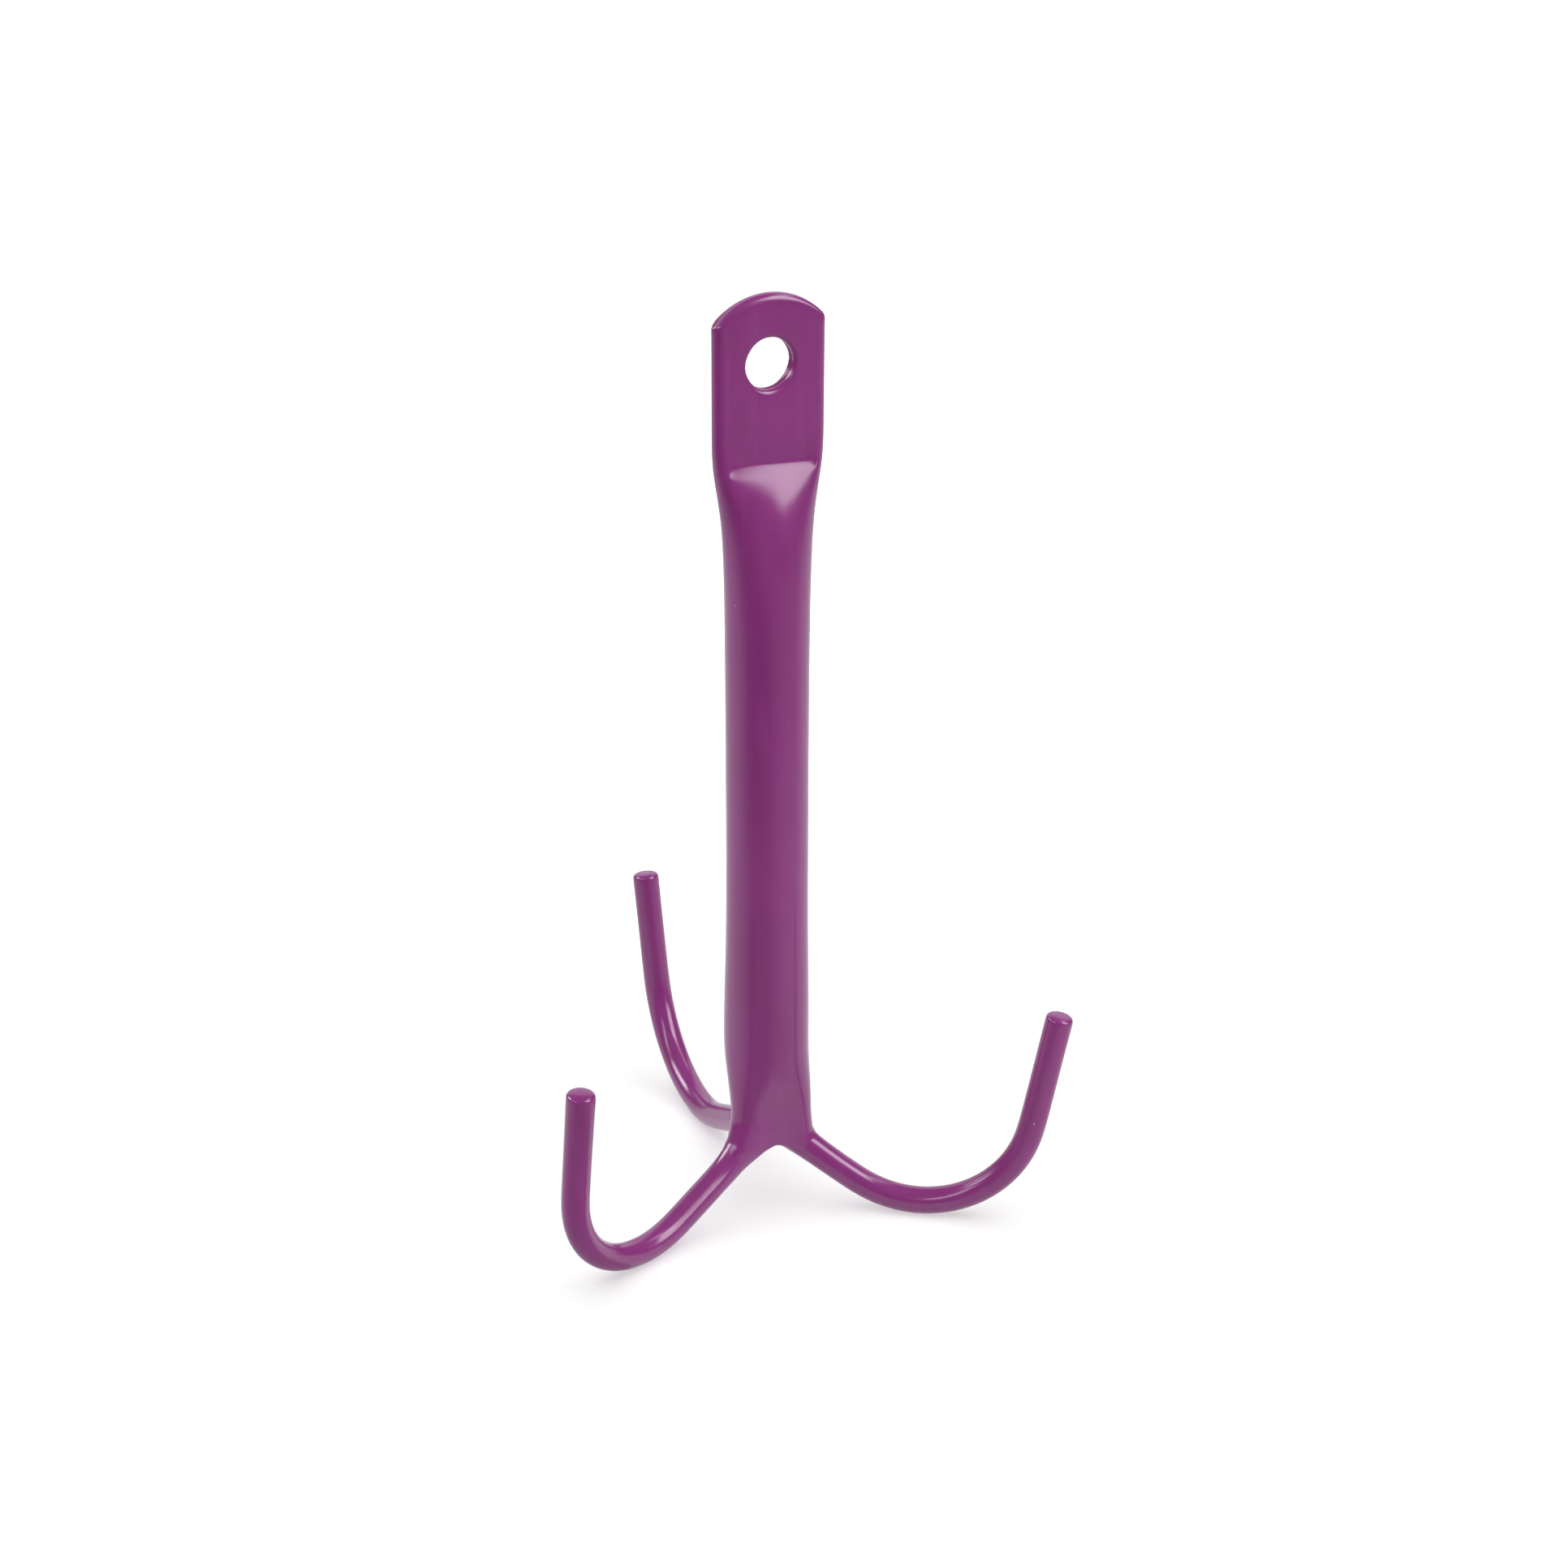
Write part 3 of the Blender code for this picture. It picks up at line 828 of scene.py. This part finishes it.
    def arm_foot(self, hook: HookShape) -> tuple[Vector, Vector]:
        """Finds where an arm's first ring is, a little past the knee.

        Args:
            hook: Hook under the arm.

        Returns:
            The ring's middle and the direction in which the arm leaves it.
        """
        out, _, rising = hook.axes(self.tube)
        ahead = out * cos(hook.slope) - rising * sin(hook.slope)
        return hook.place(self.tube, *hook.knee_end(self.tube)) + ahead * self.arm_start, ahead

    def draw_arm(self, hook: HookShape) -> None:
        """Draws one arm from a ring past its knee: down its slope, round its bend, up to its tip.

        Args:
            hook: Hook under the arm.
        """
        tube, bench = self.tube, self.bench
        out, side, rising = hook.axes(tube)
        start, ahead = self.arm_foot(hook)
        upward = out * sin(hook.slope) + rising * cos(hook.slope)
        bpy.ops.mesh.primitive_circle_add(
            vertices=self.arm_sides,
            radius=self.wire(hook, start.z) * cage_gain(tau / self.arm_sides),
            location=start,
            rotation=Matrix((side, upward, side.cross(upward))).transposed().to_euler(),
        )
        knee = hook.knee_end(tube)
        bend_height = self.wire_seat + hook.bend_radius
        bend_top = bend_height - hook.bend_radius * cos(hook.slope)
        slope_run = (knee.y - bend_top) / sin(hook.slope)
        steps = max(2, round((slope_run - self.arm_start) / self.slope_step))
        for _ in range(steps):
            bench.extrude(ahead * ((slope_run - self.arm_start) / steps))
        reach = knee.x + slope_run * cos(hook.slope) + hook.bend_radius * sin(hook.slope)
        bend = hook.place(tube, reach, bend_height)
        sweep = hook.slope + hook.rise
        bench.spin(sweep, round(degrees(sweep) / self.bend_step), bend, rising.cross(out))
        tip = out * cos(hook.rise) + rising * sin(hook.rise)
        length = hook.tip_length + tube.coat - sum(lift for lift, _ in self.tip_steps) * MM
        for _ in range(self.tip_rings):
            before = self.wire(hook, bench.middle().z)
            bench.extrude(tip * (length / self.tip_rings))
            bench.swell(self.wire(hook, bench.middle().z) / before)
        bench.swell(self.tip_bead)
        for lift, factor in self.tip_steps:
            bench.extrude(tip * lift * MM)
            bench.swell(factor)
        bpy.ops.mesh.edge_face_add()

    def wire(self, hook: HookShape, height: float) -> float:
        """Returns a coated rod's radius at a height: the coat gathered low down and at the tip."""
        low = self.wire_gain * (1 - height / self.gain_height)
        return self.wire_radius + low + hook.tip_coat * eased(height / self.gain_height * 2 - 1)

    def bridge_web(self, hook: HookShape) -> None:
        """Joins an arm's first ring to its loop of the foot with the coat's web.

        Args:
            hook: Hook under the arm.
        """
        bench, axis = self.bench, self.tube.axis
        start, ahead = self.arm_foot(hook)
        corner = self.corner(hook)

        def in_ring(vert: BMVert) -> bool:
            """Says whether a point is in the arm's first ring."""
            gap = vert.co - start
            return gap.length < self.arm_ring and abs(gap.dot(ahead)) < CLOSE

        def in_sector(vert: BMVert) -> bool:
            """Says whether a point is in this hook's third of the foot, or on its border."""
            gap = remainder(atan2(*(vert.co - axis).yx) - corner, tau)
            return abs(gap) < self.third / 2 + self.web_border

        def on_foot(vert: BMVert) -> bool:
            """Says whether a point is on the foot's open edge."""
            low = self.web_height - CLOSE < vert.co.z < self.hub_height + CLOSE
            wide = (vert.co - axis).to_2d().length > self.web_from
            return low and wide and any(len(edge.link_faces) < 2 for edge in vert.link_edges)

        verts = bench.mesh.verts
        hub = bench.nearest(axis + UP * self.middle_height)
        spokes = [edge.other_vert(hub) for edge in hub.link_edges if len(edge.link_faces) < 2]
        loop = {vert for vert in spokes if vert.co.z < self.hub_height and in_sector(vert)}
        loop |= {vert for vert in verts if on_foot(vert) and in_sector(vert)} | {hub}
        ring = {vert for vert in verts if in_ring(vert)}
        edges = [edge for edge in bench.mesh.edges if len(edge.link_faces) < 2]
        bench.work_on("EDGE")
        bench.select(edge for edge in edges if set(edge.verts) <= ring or set(edge.verts) <= loop)
        bpy.ops.mesh.bridge_edge_loops(number_cuts=self.web_rings, interpolation="LINEAR")
        bench.work_on("VERT")

    def gather(self, hook: HookShape) -> None:
        """Fills the corner over a knee, where the plastic ran together.

        Args:
            hook: Hook whose knee is filled, by the thickness in its own sizes.
        """
        tube = self.tube
        out, _, rising = hook.axes(tube)
        corner = tube.axis + level(self.corner(hook)) * (tube.seat_reach + tube.corner_radius)
        corner = corner + UP * (self.hub_height - self.gather_drop)
        for reach, part in self.gather_steps:
            if self.bench.pick(lambda place: (place - corner).length < reach * MM):
                self.bench.move((out + rising * self.gather_rise) * hook.gathered * part)

    def round_arch(self, hook: HookShape) -> None:
        """Rounds the arch of plastic between a hook and its neighbour.

        Args:
            hook: Hook on one side of the arch.
        """
        axis = self.tube.axis
        crown = axis + level(self.corner(hook) - self.third / 2) * self.arch_crown
        crown = crown + UP * self.web_height

        def beside(place: Vector) -> bool:
            """Says whether a place is under the wall's edge, beside the crown."""
            outside = (place - axis).to_2d().length > self.arch_from
            below = place.z < self.web_height - self.arch_drop
            return outside and below and (place - crown).length < self.arch_reach

        self.bench.pick(beside)
        self.bench.move(UP * self.arch_lift)
        self.bench.pick_near([crown])
        self.bench.move(UP * -self.crown_sink * self.arch_lift)


def linear(colour: str) -> tuple[float, float, float, float]:
    """Turns an sRGB colour to linear.

    Args:
        colour: Six hex digits after a hash sign.

    Returns:
        Red, green, blue and an alpha of one.
    """
    channels = [int(colour[index : index + 2], 16) / 255 for index in (1, 3, 5)]
    light = [c / 12.92 if c <= 0.04045 else ((c + 0.055) / 1.055) ** 2.4 for c in channels]
    return (light[0], light[1], light[2], 1.0)


def feed(tree: NodeTree, node: Node, **inputs: object) -> None:
    """Gives a node its values and links.

    Args:
        tree: Node tree that the node is in.
        node: Node that takes them.
        **inputs: Values, source sockets or nodes whose first output is the source, by input
            name with an underscore for a space, or by an underscore and the input's number.
            None leaves an input as it is.
    """
    for name, value in inputs.items():
        key = name.replace("_", " ").strip()
        socket = node.inputs[int(key) if key.isdigit() else key]
        if isinstance(value, Node):
            value = value.outputs[0]
        if isinstance(value, NodeSocket):
            tree.links.new(value, socket)
        elif value is not None:
            socket.default_value = value


def add_node(tree: NodeTree, kind: str, settings: dict | None = None, **inputs: object) -> Node:
    """Adds a node with its settings, values and links.

    Args:
        tree: Node tree that takes the node.
        kind: Node type, without the words that begin every one of them.
        settings: Properties of the node itself.
        **inputs: Values and sources, named as for feed.

    Returns:
        The new node.
    """
    node = tree.nodes.new("ShaderNode" + kind)
    for name, value in (settings or {}).items():
        setattr(node, name, value)
    feed(tree, node, **inputs)
    return node


def start_material(name: str) -> tuple[Material, NodeTree, Node]:
    """Starts a material.

    Args:
        name: Name of the material.

    Returns:
        The material, its node tree and the shader in it.
    """
    material = bpy.data.materials.new(name)
    material.use_nodes = True
    return material, material.node_tree, material.node_tree.nodes["Principled BSDF"]


@dataclass(frozen=True)
class Mottle:
    """Soft patches: their width, how much longer they are, and the noise that is none and full."""

    size: float
    stretch: float = 1.0
    none: float = 0.0
    full: float = 1.0
    detail: float = 3.0
    grain: float = 0.5

    def add(self, tree: NodeTree) -> Node:
        """Adds the patches in the object's own space, longer along Z.

        Args:
            tree: Node tree that takes them.

        Returns:
            The node that gives their strength, from 0 to 1.
        """
        place = add_node(tree, "TexCoord").outputs["Object"]
        drawn = add_node(tree, "Mapping", Vector=place, Scale=(1, 1, 1 / self.stretch))
        noise = add_node(
            tree,
            "TexNoise",
            Vector=drawn,
            Scale=1 / self.size,
            Detail=self.detail,
            Roughness=self.grain,
        )
        return add_node(tree, "MapRange", Value=noise, From_Min=self.none, From_Max=self.full)


@dataclass(frozen=True)
class DippedVinyl:
    """Plastisol PVC film, dipped hot and cured in an oven.

    The eye sees one even satin purple. The film ran while it was wet, so it is a little deeper in
    colour where it is thick, its gloss is faintly wavy, and fine dust stands in it as pale specks.
    """

    name: str = "dipped_vinyl"
    body: str = "#7B2A6E"
    deep: str = "#752767"
    pale: str = "#7D2E70"
    dust: str = "#B98CB4"
    gloss: tuple[float, float] = (0.17, 0.23)
    refraction: float = 1.53
    thick: Mottle = Mottle(17 * MM, 2.0, 0.36, 0.64)
    runs: Mottle = Mottle(2.6 * MM, 14.0, 0.5, 0.8)
    dull: Mottle = Mottle(8.5 * MM, 1.0, 0.3, 0.7)
    ripple: Mottle = Mottle(3.2 * MM, 1.5)
    ripple_depth: float = 0.02 * MM
    peel: Mottle = Mottle(0.9 * MM)
    peel_depth: float = 0.004 * MM
    speck_spacing: float = 8.5 * MM
    speck_radius: float = 0.17 * MM
    speck_height: float = 0.0425 * MM
    speck_edge: float = 1.6
    speck_share: float = 0.45

    def make(self) -> Material:
        """Makes the material.

        Returns:
            The material.
        """
        material, tree, shader = start_material(self.name)
        specks = self.specks(tree)
        thick, runs = self.thick.add(tree), self.runs.add(tree)
        film = linear(self.body)
        for share, colour in ((thick, self.deep), (runs, self.pale), (specks, self.dust)):
            mix = add_node(tree, "Mix", MIX_COLOURS, _0=share, _6=film, _7=linear(colour))
            film = mix.outputs[2]
        dull, (least, most) = self.dull.add(tree), self.gloss
        gloss = add_node(tree, "MapRange", Value=dull, To_Min=least, To_Max=most)
        relief = None
        for height, depth in (
            (self.ripple.add(tree), self.ripple_depth),
            (self.peel.add(tree), self.peel_depth),
            (specks, self.speck_height),
        ):
            wave = {"Height": height, "Distance": depth, "Strength": 1.0}
            relief = add_node(tree, "Bump", Normal=relief, **wave)
        feed(tree, shader, Base_Color=film, Roughness=gloss, IOR=self.refraction, Normal=relief)
        return material

    def specks(self, tree: NodeTree) -> Node:
        """Adds dust specks, drawn about twice as coarse as real so that they show.

        Args:
            tree: Node tree that takes them.

        Returns:
            The node that gives 1 on a speck and 0 elsewhere.
        """
        place = add_node(tree, "TexCoord").outputs["Object"]
        cells = add_node(tree, "TexVoronoi", Vector=place, Scale=1 / self.speck_spacing)
        near = add_node(
            tree,
            "MapRange",
            Value=cells.outputs["Distance"],
            From_Min=self.speck_radius / self.speck_spacing,
            From_Max=self.speck_radius * self.speck_edge / self.speck_spacing,
            To_Min=1.0,
            To_Max=0.0,
        )
        chance = add_node(tree, "SeparateColor", Color=cells.outputs["Color"])
        kept = add_node(tree, "Math", {"operation": "LESS_THAN"}, _0=chance, _1=self.speck_share)
        return add_node(tree, "Math", {"operation": "MULTIPLY"}, _0=near, _1=kept)


@dataclass(frozen=True)
class MildSteel:
    """Drawn mild steel under the film: bright grey, with fine draw lines and a duller scale."""

    name: str
    body: str
    dark: str
    gloss: tuple[float, float]
    scale: Mottle = Mottle(7 * MM, 3.0, 0.35, 0.7)
    lines: Mottle = Mottle(0.25 * MM, 60.0, 0.2, 0.8)
    line_depth: float = 0.004 * MM

    def make(self) -> Material:
        """Makes the material.

        Returns:
            The material.
        """
        material, tree, shader = start_material(self.name)
        scale = self.scale.add(tree)
        body, dark, (least, most) = linear(self.body), linear(self.dark), self.gloss
        steel = add_node(tree, "Mix", MIX_COLOURS, _0=scale, _6=body, _7=dark).outputs[2]
        gloss = add_node(tree, "MapRange", Value=scale, To_Min=least, To_Max=most)
        lines = self.lines.add(tree)
        drawn = add_node(tree, "Bump", Height=lines, Distance=self.line_depth, Strength=1.0)
        feed(tree, shader, Base_Color=steel, Metallic=1.0, Roughness=gloss, Normal=drawn)
        return material


TUBE_STEEL = MildSteel("drawn_tube_steel", "#8F9295", "#74777A", (0.34, 0.48))
ROD_STEEL = MildSteel("bright_rod_steel", "#7D8084", "#66696D", (0.28, 0.42))


class Use(Enum):
    """What a lamp gives: light with shadows, light alone, or its reflection alone."""

    OVERHEAD = "overhead"
    LIGHT = "light"
    SHINE = "shine"


@dataclass(frozen=True)
class Lamp:
    """One oblong soft lamp: where it hangs, in degrees, its width and height, and its watts."""

    name: str
    use: Use
    azimuth: float
    elevation: float
    size: tuple[float, float]
    power: float


LAMPS = (
    Lamp("overhead", Use.OVERHEAD, 0, 86, (2.6, 2.6), 27.0),
    Lamp("key_light", Use.LIGHT, 40, 34, (0.86, 1.1), 15.2),
    Lamp("left_light", Use.LIGHT, -72, 32, (1.1, 0.24), 5.0),
    Lamp("left_bounce", Use.LIGHT, -132, 15, (1.2, 1.2), 8.2),
    Lamp("key_softbox", Use.SHINE, 41.5, 34, (0.8, 1.08), 18.7),
    Lamp("left_strip", Use.SHINE, -72, 32, (1.1, 0.24), 5.0),
    Lamp("right_strip", Use.SHINE, 73, 55, (1.5, 0.34), 4.4),
    Lamp("left_window", Use.SHINE, -128, 31, (0.8, 0.55), 15.2),
    Lamp("backdrop", Use.SHINE, 152.7, 22, (2.4, 1.1), 8.0),
)


@dataclass
class Studio:
    """White table, graded card, even white surroundings, soft lamps and the camera."""

    axis: Vector
    floor_height: float
    azimuth: float = -27.3
    elevation: float = 23.64
    distance: float = 0.85
    look_height: float = 0.1
    focal_pixels: float = 4331.0
    image_pixels: float = 1932.0
    look_pixel: tuple[float, float] = (945.2, 1028.9)
    sensor: float = 36.0
    view_end: float = 50.0
    surroundings: float = 0.2
    table_radius: float = 0.9
    table_sides: int = 96
    paper: str = "#E8E8E8"
    seen_paper: str = "#DFE0DF"
    table_glow: tuple[float, float] = (0.12, 0.8)
    table_glow_reach: tuple[float, float] = (0.075, 0.24)
    lamp_distance: float = 1.5
    card_lift: float = 0.2 * MM
    card_sides: int = 90
    card_radii: tuple[float, ...] = (0.05, 0.09, 0.13, 0.17, 0.21, 0.25, 0.29, 0.34, 0.6, 0.9)
    card_fade: tuple[float, float] = (0.17, 0.34)
    card_shades: tuple[tuple[float, float, float], ...] = (
        (-90, 1.0, 1.0),
        (-76, 0.95, 0.85),
        (-62, 0.8, 0.5),
        (-46, 0.5, 0.1),
        (-20, 0.35, 0.0),
        (4, 0.38, 0.03),
        (24, 0.6, 0.28),
        (40, 0.8, 0.42),
        (84, 0.95, 0.5),
        (100, 1.0, 0.9),
        (110, 1.0, 1.0),
    )

    def build(self) -> None:
        """Adds the table, the card, the surroundings, the lamps and the camera."""
        self.add_table()
        self.add_card()
        self.add_world()
        self.add_lamps()
        self.add_camera()

    def hang(self, name: str, data: ID, angles: tuple[float, float], distance: float) -> Object:
        """Hangs a lamp or the camera so that it looks at the middle of the stem.

        Args:
            name: Name of the object.
            data: Its light or camera.
            angles: Azimuth from the front and elevation, in degrees.
            distance: Distance from the middle of the stem.

        Returns:
            The object.
        """
        azimuth, elevation = (radians(angle) for angle in angles)
        across = cos(elevation)
        away = Vector((sin(azimuth) * across, -cos(azimuth) * across, sin(elevation)))
        piece = bpy.data.objects.new(name, data)
        piece.location = self.axis + UP * self.look_height + away * distance
        piece.rotation_euler = away.to_track_quat("Z", "Y").to_euler()
        bpy.context.scene.collection.objects.link(piece)
        return piece

    def add_camera(self) -> None:
        """Sets the camera at the photograph's angle, distance and framing."""
        lens = bpy.data.cameras.new("camera")
        pixels = self.image_pixels
        lens.sensor_width = self.sensor
        lens.lens = self.focal_pixels * self.sensor / pixels
        lens.shift_x = (pixels / 2 - self.look_pixel[0]) / pixels
        lens.shift_y = (self.look_pixel[1] - pixels / 2) / pixels
        lens.clip_end = self.view_end
        angles = (self.azimuth, self.elevation)
        bpy.context.scene.camera = self.hang("camera", lens, angles, self.distance)

    def add_table(self) -> None:
        """Lays a wide white table that keeps the shadow."""
        bpy.ops.object.select_all(action="DESELECT")
        bpy.ops.mesh.primitive_circle_add(
            vertices=self.table_sides,
            radius=self.table_radius,
            fill_type="NGON",
            location=UP * self.floor_height,
        )
        table = bpy.context.active_object
        table.name = "studio_table"
        # Matt paper: the eye sees an even white that still takes the object's soft shadow.
        material, tree, shader = start_material("white_table_paper")
        tree.nodes.remove(shader)
        path, lit, seen = add_node(tree, "LightPath"), linear(self.paper), linear(self.seen_paper)
        shown = add_node(tree, "Mix", MIX_COLOURS, _0=path, _6=lit, _7=seen).outputs[2]
        paper = add_node(tree, "BsdfDiffuse", Color=shown)
        glow = add_node(tree, "Emission", Color=WHITE, Strength=self.seen_white(tree))
        both = add_node(tree, "AddShader", _0=paper, _1=glow)
        feed(tree, tree.nodes["Material Output"], Surface=both)
        dress(table, material)

    def seen_white(self, tree: NodeTree) -> Node:
        """Adds what the camera and reflections see of the white on top of its light.

        Args:
            tree: Node tree that takes it.

        Returns:
            The node that gives its strength, which grows away from the object.
        """
        path = add_node(tree, "LightPath").outputs
        seen = add_node(
            tree,
            "Math",
            {"operation": "MAXIMUM"},
            _0=path["Is Camera Ray"],
            _1=path["Is Glossy Ray"],
        )
        place = add_node(tree, "TexCoord").outputs["Object"]
        away = add_node(tree, "VectorMath", {"operation": "LENGTH"}, Vector=place)
        grown = add_node(
            tree,
            "MapRange",
            {"interpolation_type": "SMOOTHSTEP"},
            Value=away.outputs["Value"],
            From_Min=self.table_glow_reach[0],
            From_Max=self.table_glow_reach[1],
            To_Min=self.table_glow[0],
            To_Max=self.table_glow[1],
        )
        return add_node(tree, "Math", {"operation": "MULTIPLY"}, _0=seen, _1=grown)

    def add_card(self) -> None:
        """Lays a glowing graded card round the object, which only reflections show."""
        centre = self.axis + UP * (self.floor_height + self.card_lift)
        bench = Bench("glowing_graded_card", self.card_sides, self.card_radii[0], centre)
        for inner, outer in zip(self.card_radii, self.card_radii[1:]):
            bench.extrude(Vector())
            bench.scale((outer / inner, outer / inner, 1), centre)
        card = bench.close()
        shade = card.data.attributes.new("shade", "FLOAT", "POINT")
        for vertex, value in zip(card.data.vertices, shade.data):
            value.value = self.card_shade(vertex.co)
        # Glowing card, though no lamp: only the film's gloss shows it, as a painted reflection that
        # runs from pale at the sides to dark before the object.
        material, tree, shader = start_material("glowing_graded_card")
        tree.nodes.remove(shader)
        grade = add_node(tree, "Attribute", {"attribute_name": "shade"}).outputs["Fac"]
        glow = add_node(tree, "Emission", Color=WHITE, Strength=grade)
        feed(tree, tree.nodes["Material Output"], Surface=glow)
        dress(card, material)
        card.visible_camera = card.visible_diffuse = card.visible_shadow = False

    def card_shade(self, place: Vector) -> float:
        """Says how bright the card is: darker before the object, and darkest far out.

        Args:
            place: Place on the card.

        Returns:
            The strength of its glow there.
        """
        gap = place - self.axis
        turn = remainder(degrees(atan2(gap.x, -gap.y)) - self.azimuth, 360)
        near_reach, far_reach = self.card_fade
        share = eased((gap.to_2d().length - near_reach) / (far_reach - near_reach))
        for before, after in zip(self.card_shades, self.card_shades[1:]):
            if before[0] <= turn <= after[0]:
                part = (turn - before[0]) / (after[0] - before[0])
                near = blend(before[1], after[1], part)
                return blend(near, blend(before[2], after[2], part), share)
        return self.card_shades[0][1]

    def add_world(self) -> None:
        """Surrounds the object with dim even light, white to the camera."""
        world = bpy.data.worlds.new("dim_studio")
        world.use_nodes = True
        tree = world.node_tree
        path = add_node(tree, "LightPath").outputs["Is Camera Ray"]
        light = add_node(tree, "MapRange", Value=path, To_Min=self.surroundings, To_Max=1.0)
        feed(tree, tree.nodes["Background"], Color=WHITE, Strength=light)
        bpy.context.scene.world = world

    def add_lamps(self) -> None:
        """Hangs the lamps; those that only light or only shine throw no shadow."""
        for lamp in LAMPS:
            light = bpy.data.lights.new(lamp.name, "AREA")
            light.shape = "RECTANGLE"
            light.size, light.size_y = lamp.size
            light.energy = lamp.power
            light.use_shadow = lamp.use is Use.OVERHEAD
            light.cycles.use_multiple_importance_sampling = lamp.use is not Use.LIGHT
            angles = (lamp.azimuth, lamp.elevation)
            piece = self.hang(lamp.name, light, angles, self.lamp_distance)
            piece.visible_glossy = lamp.use is Use.SHINE
            piece.visible_diffuse = lamp.use is not Use.SHINE


def dress(piece: Object, material: Material) -> None:
    """Gives a piece one material."""
    piece.data.materials.clear()
    piece.data.materials.append(material)


def main() -> None:
    """Builds the coat, dresses the steel and sets the studio round them."""
    logging.basicConfig(level=logging.INFO, format="%(message)s")
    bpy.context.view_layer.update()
    mounts = frame["record"]["mounts"]
    hanging = next(mount["pos_m"] for mount in mounts if mount["name"] == "hanging_hole")
    axis = Vector((hanging[0], hanging[1], 0))
    coat = DippedCoat(tube=Tube(axis=axis)).build()
    dress(coat, DippedVinyl().make())
    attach(coat, "root")
    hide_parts("plastic_coat")
    LOG.info("%s: %d faces", coat.name, len(coat.data.polygons))
    tube_steel, rod_steel = TUBE_STEEL.make(), ROD_STEEL.make()
    steels = {"stem_tube": tube_steel, **{f"{hook.name}_hook_rod": rod_steel for hook in HOOKS}}
    for name, steel in steels.items():
        dress(frame["nodes"][name], steel)
        LOG.info("%s: %s", name, steel.name)
    lowest = min(vertex.co.z for vertex in coat.data.vertices)
    Studio(axis=axis, floor_height=lowest).build()
    bpy.context.scene.view_settings.view_transform = "Standard"


if __name__ == "__main__":
    main()
